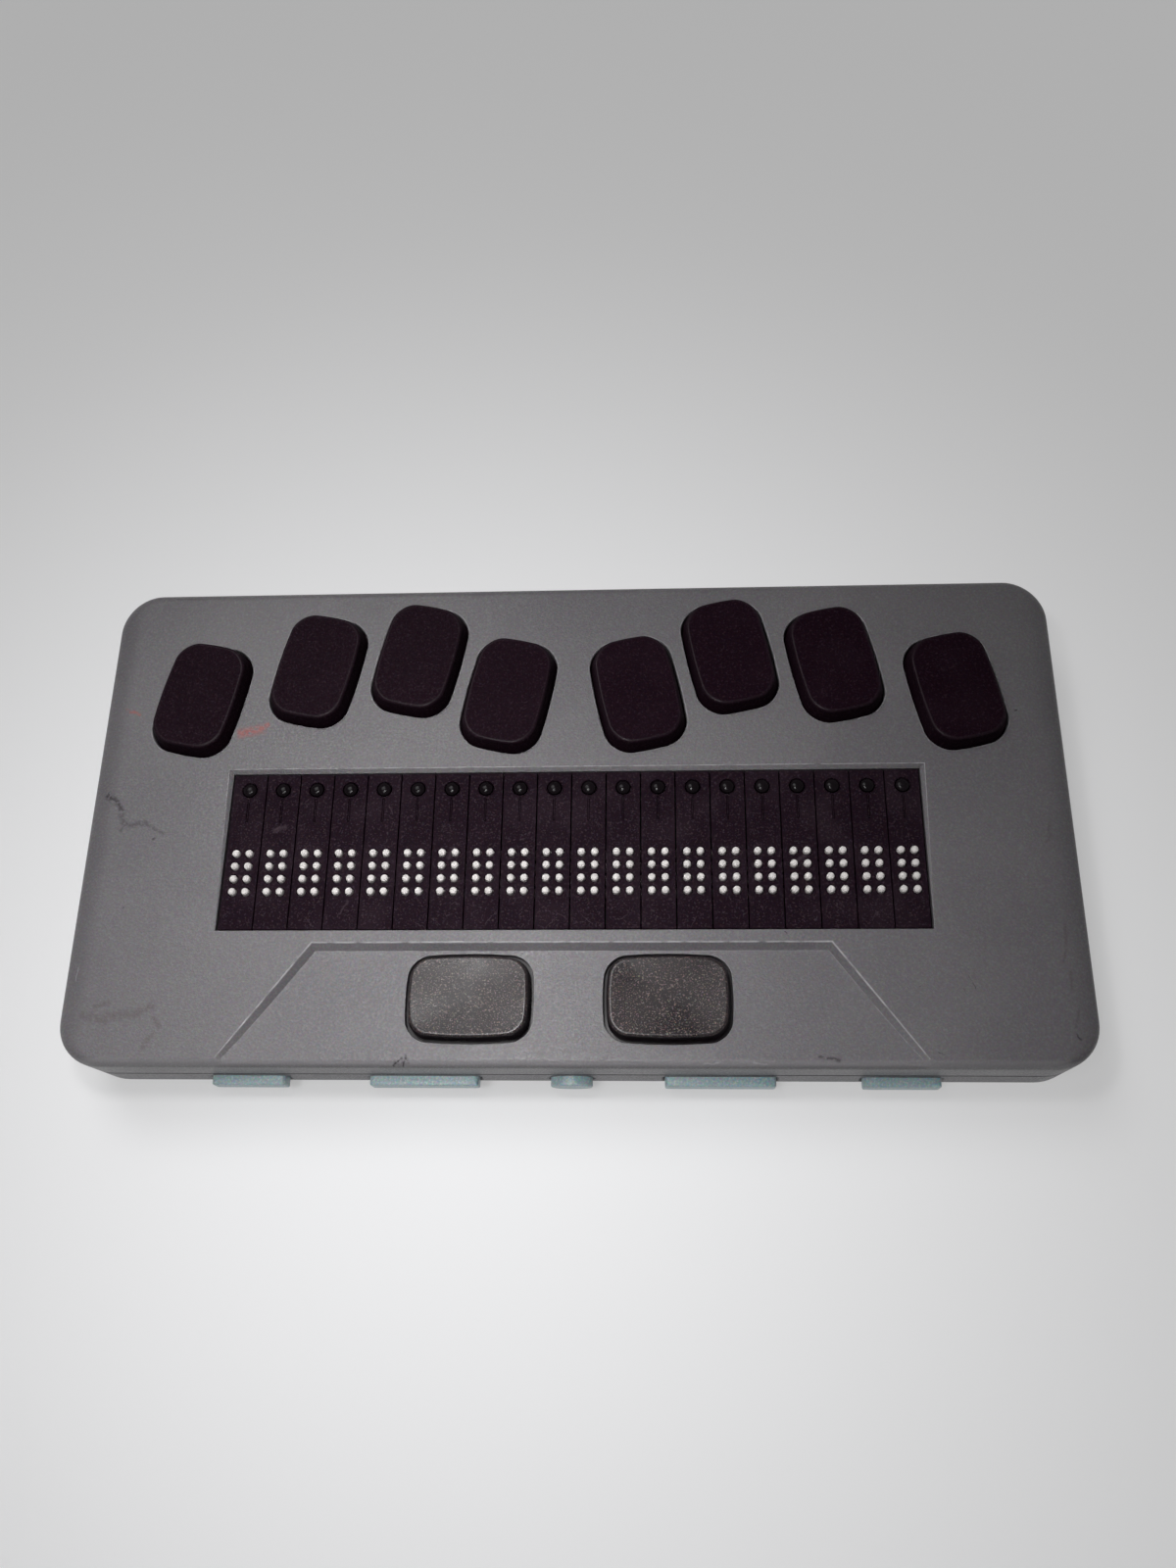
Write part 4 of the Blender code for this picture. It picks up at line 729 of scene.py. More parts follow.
def window_strip():
    """Rings round the window. Ring f lies a share f of the bevel's width outside the opening, and
    the surface falls by the rest of the width times the bevel's slope. Round f = 1 it eases to
    flat: the fall there is the squared way from the far end of the easing over four times it."""
    half = CELLS_WIDTH / 2 + WINDOW_GAP
    front, rear = CELLS_FRONT_Y - WINDOW_GAP, CELLS_REAR_Y + WINDOW_GAP
    widths = np.array([WINDOW_FRONT_BEVEL, WINDOW_FRONT_BEVEL, WINDOW_BEVEL, WINDOW_BEVEL])
    corners = np.array([(-half, front), (half, front), (half, rear), (-half, rear)])
    outwards = np.array([(-1, -1), (1, -1), (1, 1), (-1, 1)])
    shares = np.linspace(0, 1, 13)[:-1, None]
    rings = []
    for f in WINDOW_RINGS:
        out = 0.0 if f is None else f
        at = corners + outwards * (out * widths)[:, None]
        flat = np.concatenate([a + shares * (b - a) for a, b in zip(at, np.roll(at, -1, axis=0))])
        width = np.concatenate([a + shares[:, 0] * (b - a) for a, b in zip(widths, np.roll(widths, -1))])
        fall = 1 - out
        if out > 1 - WINDOW_EASE:
            fall = max(1 + WINDOW_EASE - out, 0.0) ** 2 / (4 * WINDOW_EASE)
        height = CEILING_Z if f is None else TOP_Z - fall * width * WINDOW_BEVEL_FALL
        # The bevel's rim is marked, and the case paints it lighter: partly wear, partly a painted highlight.
        on_rim = 1 - WINDOW_EASE < out < 1 + WINDOW_EASE
        rings.append(level(flat, height, np.where(on_rim, width / WINDOW_BEVEL, 0.0)))
    return rings


def recess_strip():
    """Open rows along the recess, from the flat top (f above 1) down its sloping wall to the floor
    (f below 0). The wall's depth is the floor's depth at its foot times 1 minus f, eased at both
    ends. Every row ends on the front line."""
    rear = np.array([RECESS_REAR_HALF, RECESS_REAR_Y])
    front = np.array([RECESS_FRONT_HALF, RECESS_FRONT_Y])
    mirror = np.array([-1, 1])
    shares = np.linspace(0, 1, 25)[:, None]
    across = np.linspace(0, 1, 17)[1:-1, None]

    def path(band, front_band):
        right = rear + shares * (front - rear) - band * (1 - shares**4) - front_band * shares**4
        left = right[::-1] * mirror
        return np.concatenate([left, left[-1] + across * (right[0] - left[-1]), right])

    foot = path(RECESS_BAND, RECESS_FRONT_BAND)
    rim = path(0 * RECESS_BAND, 0 * RECESS_FRONT_BAND)
    depth = TOP_Z - recess_floor(foot[:, 1])
    ease_top, ease_foot = RECESS_EASE_TOP, RECESS_EASE_FOOT
    rows = []
    for f in RECESS_ROWS:
        flat = foot + f * (rim - foot)
        if f > 1 - ease_top:
            fall = max(1 + ease_top - f, 0) ** 2 / (4 * ease_top) * depth
        elif f < ease_foot:
            deep = TOP_Z - recess_floor(flat[:, 1])
            fall = deep + ((1 - f) * depth - deep) * 0.5 * (1 + f / ease_foot)
            fall = fall - (1 - (f / ease_foot) ** 2) * ease_foot * 0.25 * depth
        else:
            fall = (1 - f) * depth
        # The rim and the foot are marked to be painted lighter.
        rim_lightening = RECESS_RIM_WEAR_AND_HIGHLIGHT if 0.9 < f < 1.1 else RECESS_FOOT_LIGHTER if abs(f) < 0.03 else 0.0
        rows.append(level(flat, TOP_Z - fall, rim_lightening))
    return rows


print("strips: ten openings, the window and the recess")

# %% Upper shell: filling and closing


def inside(points, polygon):
    """Whether each point lies in the polygon: a ray from it crosses its edges an odd number of
    times."""
    x, y = points[:, :1], points[:, 1:2]
    ax, ay = polygon[:, 0], polygon[:, 1]
    bx, by = np.roll(ax, -1), np.roll(ay, -1)
    spans = (ay > y) != (by > y)
    slope = (bx - ax) / np.where(by == ay, 1.0, by - ay)
    return np.sum(spans & (x < ax + (y - ay) * slope), axis=1) % 2 == 1


def filled(outer, holes, lines=(), free=None):
    """Triangles between an outer loop and its holes. A line is an open path that edges must follow,
    and free points only take part as corners."""
    loops = [outer] + list(holes) + list(lines)
    edges, start = [], 0
    for i, loop in enumerate(loops):
        closed = i <= len(holes)
        count = len(loop)
        edges += [(start + a, start + (a + 1) % count) for a in range(count if closed else count - 1)]
        start += count
    points = np.concatenate(loops + ([] if free is None else [free]))
    flat = [Vector(p) for p in (points[:, :2] / MM).tolist()]
    _, _, faces, origins, _, _ = delaunay_2d_cdt(flat, edges, [], 0, 1e-5)
    first = np.array([origin[0] for origin in origins])
    faces = first[np.array(faces)]
    middles = points[faces].mean(axis=1)
    kept = inside(middles, outer)
    for hole in holes:
        kept &= ~inside(middles, hole)
    return points, faces[kept].tolist()


def floor_points(spaces, foot):
    """A lattice over the recess floor that keeps clear of its foot line and of the space keys."""
    across, along = np.meshgrid(np.arange(*LATTICE_X), np.arange(*LATTICE_Y))
    lattice = np.stack([across.ravel(), along.ravel()], axis=1)
    kept = inside(lattice, foot)
    for shift in (-LATTICE_FOOT_GAP, LATTICE_FOOT_GAP):
        kept &= inside(lattice + [0.0, shift], foot)
    for strip in spaces:
        middle = strip[0][:, :2].mean(axis=0)
        kept &= ~inside(lattice, middle + (strip[0][:, :2] - middle) * LATTICE_KEY_GROWTH)
    lattice = lattice[kept]
    return level(lattice, recess_floor(lattice[:, 1]), 0.0)


def with_lip(ring, lip):
    """A ring of the case with the recess's lip in its front side, and how far each point is to fall.
    lip holds x and fall, from left to right."""
    front = np.flatnonzero(ring[:, 1] < ring[:, 1].min() + 1e-9)
    points = np.column_stack([lip[:, 0], np.full(len(lip), ring[front[0], 1])])
    falls = np.zeros(len(ring))
    cut = front[0] + 1, front[-1]
    ring = np.concatenate([ring[: cut[0]], points, ring[cut[1] :]])
    return ring, np.concatenate([falls[: cut[0]], lip[:, 1], falls[cut[1] :]])


def upper_shell():
    """Walls with the rounded edge, the ten openings, the window, the recess and the screw posts, and
    the flat fillings between them."""
    openings = [
        opening_strip(*place[1:], KEY_SIZE, lambda y: np.full_like(y, TOP_Z), KEY_FILLET, KEY_GAP)
        for place in key_places()
    ]
    spaces = [
        opening_strip(*place[1:], SPACE_SIZE, recess_floor, SPACE_FILLET, SPACE_GAP)
        for place in SPACE_PLACES
    ]
    window, recess = window_strip(), recess_strip()
    left_end = np.array([row[0] for row in recess])
    right_end = np.array([row[-1] for row in recess])
    front_line = np.linspace(left_end[-1], right_end[-1], 9)
    lip = np.concatenate([left_end, front_line[1:-1], right_end[::-1]])
    lip = lip[:, [0, 2]] * [1, -1] + [0, TOP_Z]
    profile = [(SIDE_WALL, CEILING_Z), (SIDE_WALL, SEAM_Z), (SEAM_EDGE, SEAM_Z), (0.0, SEAM_Z + SEAM_EDGE)]
    walls = [level(with_lip(case_ring(inset, inset, inset), lip)[0], z, 0.0) for inset, z in profile]
    for turn in np.linspace(0, math.pi / 2, TOP_EDGE_STEPS):
        run = 1 - math.cos(turn)
        ring = case_ring(SIDE_EDGE_RUN * run, FRONT_EDGE_RUN * run, REAR_EDGE_RUN * run)
        ring, falls = with_lip(ring, lip)
        height = TOP_Z - TOP_EDGE_DROP + (TOP_EDGE_DROP - falls) * math.sin(turn)
        walls.append(level(ring, height, 0.0))
    strips = openings + spaces + [window]
    band = np.concatenate([recess[0], right_end[1:-1], recess[-1][::-1], left_end[-2:0:-1]])
    holes = [strip[0] for strip in strips] + [band]
    skin = filled(walls[-1], holes, [front_line], floor_points(spaces, recess[-1]))
    posts = []
    for x, y in POST_PLACES:
        flat = circle(POST_RADIUS, x, y, POST_SIDES)
        posts.append([level(flat, z, 0.0) for z in (CEILING_Z, SEAM_Z)])
    ceiling = filled(walls[0], [strip[-1] for strip in strips] + [post[0] for post in posts])
    parts = [loft(walls, OPEN), skin, ceiling, loft(recess, OPEN, closed=False)]
    parts += [loft(post, LAST_FILLED) for post in posts]
    return joined(parts + [loft(strip, OPEN) for strip in strips])


top_shell = put("top_shell", upper_shell(), CASE_FINISH, nodes=["top_case"], slot="case_grey")
check = bmesh.new()
check.from_mesh(top_shell.data)
print("top shell:", len(check.faces), "faces,", sum(not e.is_manifold for e in check.edges), "open edges")
check.free()

# %% [markdown]
# The sockets and side buttons stand on the board and look out through openings in the upper
# shell's walls. A moulded opening has a small lead-in round its mouth. Openings across a wall are
# simplest as a Boolean cut, and the cutter carries the lead-in as a flare at its outer end.

# %% Upper shell: port openings
SEAT_GAP, SLIDE_GAP = 0.0003, 0.00015
LEAD_IN, CUT_DEPTH = 0.0003, 0.0040
SMALLEST_RADIUS, ROUND_ENDS = 0.0001, 1.0
JACK_MOUTH_RADIUS, CARD_MOUTH_RADIUS, OVAL_SIDES = 0.0008, 0.0005, 48
WALL_X = CASE_WIDTH / 2
BUTTONS = {"power": -1, "volume_up": 1, "volume_down": 1}
BUTTON_LENGTH, BUTTON_HEIGHT, BUTTON_MOUTH_RADIUS = 0.0085, 0.0030, 0.0009
LIGHT_RADIUS = 0.0010


def across_wall(shape, side, wall, centre):
    """Turns points drawn flat (width, height, depth into the wall) to stand in a side wall (side -1
    or 1, wall its x) or in the rear or front wall (side 2 or -2, wall its y)."""
    along, up, depth = shape.T
    if abs(side) == 1:
        return np.column_stack([wall - side * depth, centre[0] + along, centre[1] + up])
    return np.column_stack([centre[0] + along, wall - np.sign(side) * depth, centre[1] + up])


def bar_plan(width, height, radius, corner_steps=6, side_steps=4):
    """A rounded bar's outline, as a function of how far it has grown."""

    def plan(grow):
        rounding = max(radius + grow, SMALLEST_RADIUS)
        return outline(width + 2 * grow, height + 2 * grow, rounding, 0.0, corner_steps, side_steps)

    return plan


def oval_plan(width, height):
    """The same for an oval."""
    return lambda grow: circle(1.0, sides=OVAL_SIDES) * [width / 2 + grow, height / 2 + grow]


def round_plan(radius, sides):
    """The same for a circle."""
    return lambda grow: circle(radius + grow, sides=sides)


def in_wall(side, wall, centre, plan, steps):
    """Rings of a plan that stands in a wall. A step is how far it has grown and how deep it lies."""
    return [across_wall(level(plan(grow), depth), side, wall, centre) for grow, depth in steps]


def mouth_cutter(side, wall, centre, plan):
    """A cutter whose mouth flares by the lead-in just inside the wall's face."""
    steps = ((LEAD_IN * 2, -LEAD_IN), (LEAD_IN, 0.0), (0.0, LEAD_IN), (0.0, CUT_DEPTH))
    return loft(in_wall(side, wall, centre, plan, steps))


def cut(piece, shapes):
    """Cuts shapes out of a piece with the exact Boolean and applies it."""
    mesh = bpy.data.meshes.new("cutter")
    points, faces = joined(shapes)
    mesh.from_pydata(points.tolist(), [], faces)
    face_outwards(mesh)
    modifier = piece.modifiers.new("cut", "BOOLEAN")
    modifier.operation, modifier.solver = "DIFFERENCE", "EXACT"
    modifier.object = added("cutter", mesh)
    bpy.context.view_layer.update()
    evaluated = piece.evaluated_get(bpy.context.evaluated_depsgraph_get())
    finished = bpy.data.meshes.new_from_object(evaluated)
    piece.modifiers.clear()
    old = piece.data
    piece.data = finished
    for spare in (old, mesh):
        bpy.data.meshes.remove(spare)
    finished.name = piece.name
    finished.shade_smooth()
    finished.set_sharp_from_angle(angle=math.radians(SHARP_ANGLE))


def sized(node):
    """Middle and size of a node's box, each as (x, y, z)."""
    low, high = (np.array(corner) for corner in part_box(node))
    return (low + high) / 2, high - low


def seat_mouth(node, side, wall, radius):
    """The cutter for a socket's opening, which keeps the seat gap round the node's box."""
    flat = [1, 2] if abs(side) == 1 else [0, 2]
    middle, size = (values[flat] for values in sized(node))
    return mouth_cutter(side, wall, middle, bar_plan(*(size + 2 * SEAT_GAP), radius))


button_mouth = bar_plan(BUTTON_LENGTH + 2 * SLIDE_GAP, BUTTON_HEIGHT + 2 * SLIDE_GAP, BUTTON_MOUTH_RADIUS)
cutters = [
    mouth_cutter(side, side * WALL_X, sized(name + "_button")[0][1:], button_mouth)
    for name, side in BUTTONS.items()
]
light_centre = sized("status_light")[0][1:]
light_open = 2 * (LIGHT_RADIUS + SLIDE_GAP)
cutters += [
    seat_mouth("usb_c_socket", -1, -WALL_X, ROUND_ENDS),
    seat_mouth("audio_jack", 1, WALL_X, JACK_MOUTH_RADIUS),
    mouth_cutter(-1, -WALL_X, light_centre, oval_plan(light_open, light_open)),
    seat_mouth("card_socket", 2, REAR_Y, CARD_MOUTH_RADIUS),
]
cut(top_shell, cutters)
print("top shell with", len(cutters), "port openings:", len(top_shell.data.polygons), "faces")

# %% [markdown]
# A braille key is a cap with a flat top, a small rounded edge and drafted sides. Under the shell
# it widens into a flange that keeps it in, with a square stem that presses a switch. One profile
# gives all of it: each step is how far the outline has grown and how high it stands.

# %% Braille keys and space keys
KEY_DRAFT, SPACE_DRAFT, KEY_EDGE = 0.0005, 0.0003, 0.00045
KEY_DISH, SPACE_DISH = 0.00005, 0.00030
KEY_PROUD, SPACE_PROUD, KEY_EDGE_STEPS = 0.0027, 0.0021, 7
KEY_FLANGE, FLANGE_LOW_Z, FLANGE_TOP_Z = 0.0009, 0.0165, 0.0175
STEM_LOW_Z, STEM_SIDE, STEM_CORNER = 0.0141, 0.0028, 0.0002
DISH_SHARES = (0.985, 0.94, 0.85, 0.72, 0.55, 0.35, 0.15, 0.0)


def key_cap(x, y, turn, size, surface_z, proud, draft, dish):
    """Rings from the stem's foot to the top. The edge is a quarter circle, and inside it the top is
    dished: it falls by the dish times 1 minus the squared share of the way out from the middle."""
    stem = outline(STEM_SIDE, STEM_SIDE, STEM_CORNER)
    rings = [level(stem, STEM_LOW_Z, 0.0), level(stem, FLANGE_LOW_Z, 0.0)]
    steps = [(KEY_FLANGE, FLANGE_LOW_Z), (KEY_FLANGE, FLANGE_TOP_Z)]
    steps += [(0.0, FLANGE_TOP_Z), (0.0, surface_z)]
    top = surface_z + proud
    steps += [(-draft - inset, top - drop) for drop, inset in quarter(KEY_EDGE, KEY_EDGE_STEPS)]
    for grow, z in steps:
        rings.append(level(key_outline(size, grow), z, 1.0 if z > top - KEY_EDGE * 0.95 else 0.0))
    rim = rings[-1][:, :2]
    for share in DISH_SHARES:
        rings.append(level(rim * share, top - dish * (1 - share**2), 0.0))
    points, faces = loft(rings, FIRST_FILLED)
    flat = turned(points[:, :2], turn) + [x, y]
    return np.column_stack([flat, points[:, 2:]]), faces


for name, x, y, turn in key_places():
    shape = key_cap(x, y, turn, KEY_SIZE, TOP_Z, KEY_PROUD, KEY_DRAFT, KEY_DISH)
    put(name + "_cap", shape, KEY_FINISH, name + "_key", [name + "_key"], "key_black")
for name, x, y, turn in SPACE_PLACES:
    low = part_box(name + "_key")[1].z - SPACE_PROUD
    shape = key_cap(x, y, turn, SPACE_SIZE, low, SPACE_PROUD, SPACE_DRAFT, SPACE_DISH)
    put(name + "_cap", shape, SPACE_FINISH, name + "_key", [name + "_key"], "key_black")
print("keys:", len(key_places()) + len(SPACE_PLACES))

# %% [markdown]
# The braille line is twenty equal cell modules side by side. Each has a black cap with eight pin
# holes, a round hole with a low collar for the routing button, and a fine slit between them. One
# cap is worked out, and adding a row of offsets gives all twenty with no loop over points.

# %% Braille cells
CELLS_TOP_Z, CELL_PLATE, CELLS_LOW_Z = 0.0196, 0.0014, 0.0138
CELL_GAP, CELL_CHAMFER, HOLE_CHAMFER, SKIRT_WALL = 0.00022, 0.00006, 0.00008, 0.0012
DOT_PITCH, DOT_RADIUS, DOT_RISE, DOT_SIDES = 0.00245, 0.00070, 0.0007, 14
DOTS_Y = CELLS_FRONT_Y + 0.0108
DOT_YS = [DOTS_Y + rows * DOT_PITCH for rows in (1.5, 0.5, -0.5, -1.5)]
ROUTER_Y = CELLS_REAR_Y - 0.0031
DOME_RADIUS, ROUTER_SIDES, COLLAR_SIDES = 0.00132, 32, 28
# How far each step of the collar lies outside the router's hole, and over the cap
COLLAR = ((0.00020, 0.0), (0.00014, 0.00009), (0.00006, 0.00010), (0.0, 0.00004))
SLIT_LENGTH, SLIT_WIDTH, SLIT_DEPTH, SLIT_CHAMFER = 0.0047, 0.00042, 0.0004, 0.00005
SLIT_REAR_Y = ROUTER_Y - DOME_RADIUS - 0.00045
TONGUE_WIDTH, TONGUE_LENGTH, TONGUE_DROP = 0.00020, 0.0044, 0.00005
TONGUE_CHAMFER, TONGUE_CHAMFER_DROP = 0.00003, 0.00004
CELL_XS = (np.arange(CELL_COUNT) - (CELL_COUNT - 1) / 2) * CELL_PITCH
CELL_DEPTH = CELLS_REAR_Y - CELLS_FRONT_Y
CELL_MIDDLE_Y = (CELLS_FRONT_Y + CELLS_REAR_Y) / 2


def stack(plan, x, y, steps):
    """Level rings of a plan. A step is how far it has grown and how high it lies."""
    return [level(plan(grow) + [x, y], z) for grow, z in steps]


def one_cell():
    """The cap of the cell at x = 0: an edge strip, a strip down each hole, and flat fillings."""
    top, low = CELLS_TOP_Z, CELLS_TOP_Z - CELL_PLATE
    cap = bar_plan(CELL_PITCH - CELL_GAP, CELL_DEPTH, SMALLEST_RADIUS, 1, 2)
    edge = ((-CELL_CHAMFER, top), (0.0, top - CELL_CHAMFER), (0.0, low))
    sides = stack(cap, 0.0, CELL_MIDDLE_Y, edge)
    edge = ((HOLE_CHAMFER, top), (0.0, top - HOLE_CHAMFER), (0.0, low))
    bore = round_plan(DOT_RADIUS + SLIDE_GAP, DOT_SIDES)
    strips = [stack(bore, x, y, edge) for y in DOT_YS for x in (-DOT_PITCH / 2, DOT_PITCH / 2)]
    collar = [(grow, top + rise) for grow, rise in COLLAR] + [(0.0, low)]
    strips.append(stack(round_plan(DOME_RADIUS + SLIDE_GAP, COLLAR_SIDES), 0.0, ROUTER_Y, collar))
    slit_y, slit_foot, tongue_top = SLIT_REAR_Y - SLIT_LENGTH / 2, top - SLIT_DEPTH, top - TONGUE_DROP
    edge = ((SLIT_CHAMFER, top), (0.0, top - SLIT_CHAMFER), (0.0, slit_foot))
    slit = stack(bar_plan(SLIT_WIDTH, SLIT_LENGTH, SLIT_WIDTH / 2, 3, 2), 0.0, slit_y, edge)
    edge = ((0.0, slit_foot), (0.0, tongue_top - TONGUE_CHAMFER_DROP), (-TONGUE_CHAMFER, tongue_top))
    tongue_y = slit_y + (SLIT_LENGTH - TONGUE_LENGTH) / 4
    tongue = stack(bar_plan(TONGUE_WIDTH, TONGUE_LENGTH, TONGUE_WIDTH / 2, 3, 2), 0.0, tongue_y, edge)
    holes = [strip[0] for strip in strips] + [slit[0]]
    parts = [loft(sides, OPEN), filled(sides[0], holes), loft(slit, OPEN)]
    parts += [filled(slit[-1], [tongue[0]]), loft(tongue, LAST_FILLED)]
    parts.append(filled(sides[-1], [strip[-1] for strip in strips]))
    return joined(parts + [loft(strip, OPEN) for strip in strips])


def repeated(shape, xs):
    """One shape at each x: the points are added to every offset at once."""
    points, faces = shape
    offsets = np.zeros((len(xs), 1, 3))
    offsets[:, 0, 0] = xs
    many = (points + offsets).reshape(-1, 3)
    return many, [[i + k * len(points) for i in face] for k in range(len(xs)) for face in faces]


def skirt():
    """The wall under the caps, all round the line: a square tube from the frame's foot to the caps."""
    plan, top = bar_plan(CELLS_WIDTH, CELL_DEPTH, SMALLEST_RADIUS, 1, 2), CELLS_TOP_Z - CELL_PLATE
    steps = [(0.0, CELLS_LOW_Z), (0.0, top), (-SKIRT_WALL, top), (-SKIRT_WALL, CELLS_LOW_Z)]
    return loft(stack(plan, 0.0, CELL_MIDDLE_Y, steps + steps[:1]), OPEN)


cells = joined([repeated(one_cell(), CELL_XS), skirt()])
put("cell_caps", cells, CELL_FINISH, nodes=["cell_cap_strip"], slot="cell_black", sharp=30)
print("cells:", CELL_COUNT, "caps,", len(cells[1]), "faces")

# %% [markdown]
# A braille pin is a white rod with a domed tip. The pins of one row stand on one bar, which lifts
# and lowers them. A routing button is a polished dome in each cell's collar. Both are a profile
# spun round an upright axis, as rings of few points, because there are so many of them.

# %% Braille pins and routing buttons
BAR_LOW_Z, BAR_TOP_Z = 0.0171, 0.0179
BAR_WIDTH, BAR_DEPTH, BAR_CORNER = CELLS_WIDTH - 0.0030, 0.0017, 0.0002
PIN_SHOULDER_Z, ROUTER_SHOULDER_Z = CELLS_TOP_Z + 0.00015, CELLS_TOP_Z + 0.00005
PIN_BLUNT, PIN_STEPS, ROUTER_STEPS = 0.75, 5, 9
DOT_ROWS = ["dots_1_4", "dots_2_5", "dots_3_6", "dots_7_8"]


def dome(radius, foot_z, shoulder_z, top_z, sides, steps, blunt=1.0):
    """A round rod whose end is half an ellipse: radius times cosine, and height times sine. A power
    of the cosine under 1 makes the end blunter."""
    rings = [level(circle(radius, sides=sides), foot_z)]
    for a in np.linspace(0, math.pi / 2, steps + 1):
        z = shoulder_z + (top_z - shoulder_z) * math.sin(a)
        rings.append(level(circle(radius * max(math.cos(a), 1e-9) ** blunt, sides=sides), z))
    return loft(rings, FIRST_FILLED)


pin_xs = (CELL_XS[:, None] + np.array([-0.5, 0.5]) * DOT_PITCH).ravel()
bar = stack(bar_plan(BAR_WIDTH, BAR_DEPTH, BAR_CORNER, 2, 1), 0.0, 0.0, ((0.0, BAR_LOW_Z), (0.0, BAR_TOP_Z)))
pin = dome(DOT_RADIUS, BAR_TOP_Z, PIN_SHOULDER_Z, CELLS_TOP_Z + DOT_RISE, DOT_SIDES, PIN_STEPS, PIN_BLUNT)
points, faces = joined([loft(bar), repeated(pin, pin_xs)])
for name, y in zip(DOT_ROWS, DOT_YS):
    node = name + "_row"
    put(name + "_pins", (points + [0.0, y, 0.0], faces), DOT_FINISH, node, [node], "dot_white", sharp=60)
for i, x in enumerate(CELL_XS, 1):
    node = f"routing_button_{i:02d}"
    foot, top = (corner.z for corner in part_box(node))
    points, faces = dome(DOME_RADIUS, foot, ROUTER_SHOULDER_Z, top, ROUTER_SIDES, ROUTER_STEPS)
    points = points + [x, ROUTER_Y, 0.0]
    put(f"routing_dome_{i:02d}", (points, faces), ROUTER_FINISH, node, [node], "router_black")
print("pins:", len(pin_xs) * len(DOT_ROWS), "and routing buttons:", len(CELL_XS))

# %% [markdown]
# The five thumb keys are teal and stand out of the front wall. Four are flat bars, two long and
# two short, and the middle one is an oval home key. The power and volume buttons in the side walls
# are made the same way: an outline carried in through the wall, with a rounded edge round its face
# and a flange behind the wall that holds it in.

# %% Thumb keys and side buttons
THUMBS = ["previous", "left", "home", "right", "next"]
HOME_OVAL, THUMB_CORNER, BUTTON_CORNER, FACE_INSET = (0.0076, 0.0052), 0.0007, 0.0008, 0.0009
THUMB_FLANGE, PUSHER_EDGE_STEPS = 0.0006, 6
# How far a pusher's face stands out, its edge's radius, and its flange's width and depth
THUMB_PROFILE, BUTTON_PROFILE = (0.0016, 0.00035, THUMB_FLANGE, 0.0008), (0.0, 0.0003, 0.0006, 0.0006)


def pusher(side, wall, centre, plan, profile):
    """Outlines from the face in to the flange. The face's edge is a quarter circle."""
    proud, edge, flange, flange_depth = profile
    inner = SIDE_WALL + SEAT_GAP
    steps = [(-edge - FACE_INSET, -proud)]
    steps += [(-inset, -proud + depth) for inset, depth in quarter(edge, PUSHER_EDGE_STEPS)]
    steps += [(0.0, inner), (flange, inner), (flange, inner + flange_depth)]
    return loft(in_wall(side, wall, centre, plan, steps))


thumb_plans = []
for name in THUMBS:
    node = f"thumb_{name}_key"
    middle, size = (values[[0, 2]] for values in sized(node))
    plan = bar_plan(*(size - 2 * THUMB_FLANGE), THUMB_CORNER)
    if name == "home":
        plan = oval_plan(*HOME_OVAL)
    thumb_plans.append((middle, plan))
    shape = pusher(-2, FRONT_Y, middle, plan, THUMB_PROFILE)
    put(f"thumb_{name}_cap", shape, THUMB_FINISH, node, [node], "thumb_teal")
button_plan = bar_plan(BUTTON_LENGTH, BUTTON_HEIGHT, BUTTON_CORNER)
for name, side in BUTTONS.items():
    node = name + "_button"
    shape = pusher(side, side * WALL_X, sized(node)[0][1:], button_plan, BUTTON_PROFILE)
    put(name + "_cap", shape, CELL_FINISH, node, [node], "key_black")
print("thumb keys:", THUMBS, "and side buttons:", list(BUTTONS))

# %% [markdown]
# The lower shell is a tray with a thin floor. The battery's bay is a block that stands on the floor
# and is open from below, with a seat for its cover. Four posts meet those of the upper shell. Each
# level of the shell is a flat filling with holes in it, and straight walls join the levels.

# %% Lower shell
UNDER_Z, FLOOR_Z, BOTTOM_EDGE, BOTTOM_EDGE_STEPS = 0.0008, 0.0028, 0.0028, 9
SEAT_EDGE = 0.0002
BAY_WALL, BAY_TOP_Z, COVER_CORNER, BATTERY_CORNER = 0.0012, 0.0105, 0.0030, 0.0020
FOOT_RADIUS, FOOT_SOCKET_DEPTH, FOOT_SOCKET_GAP = 0.0049, 0.0006, 1.3 * SEAT_GAP
SCREW_RADIUS, SCREW_HEAD_RADIUS, SCREW_HEAD_HEIGHT, SCREW_LENGTH = 0.0010, 0.0024, 0.0010, 0.0050
FOOT_SIDES, SHANK_SIDES = 40, 20
USB_A_PAST_SEAM, USB_A_MOUTH_RADIUS = 0.0010, 0.0004
FEET = ["foot_front_left", "foot_rear_left", "foot_front_right", "foot_rear_right"]
SCREWS = ["cover_screw_left", "cover_screw_right"]
COVER_SIZE, BATTERY_SIZE = sized("battery_cover")[1][:2], sized("battery_pack")[1][:2]
COVER_TOP_Z, PARTING_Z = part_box("battery_cover")[1].z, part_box("bottom_case")[1].z


def column(flat, *heights, caps=LAST_FILLED):
    """An outline carried straight up or down through some heights."""
    return loft([level(flat, z) for z in heights], caps)


def at_node(node, flat):
    """Flat points moved to the middle of a node."""
    return flat + sized(node)[0][:2]


def round_cover(grow):
    """The cover's outline, grown."""
    return at_node("battery_cover", outline(*(COVER_SIZE + 2 * grow), COVER_CORNER + grow))


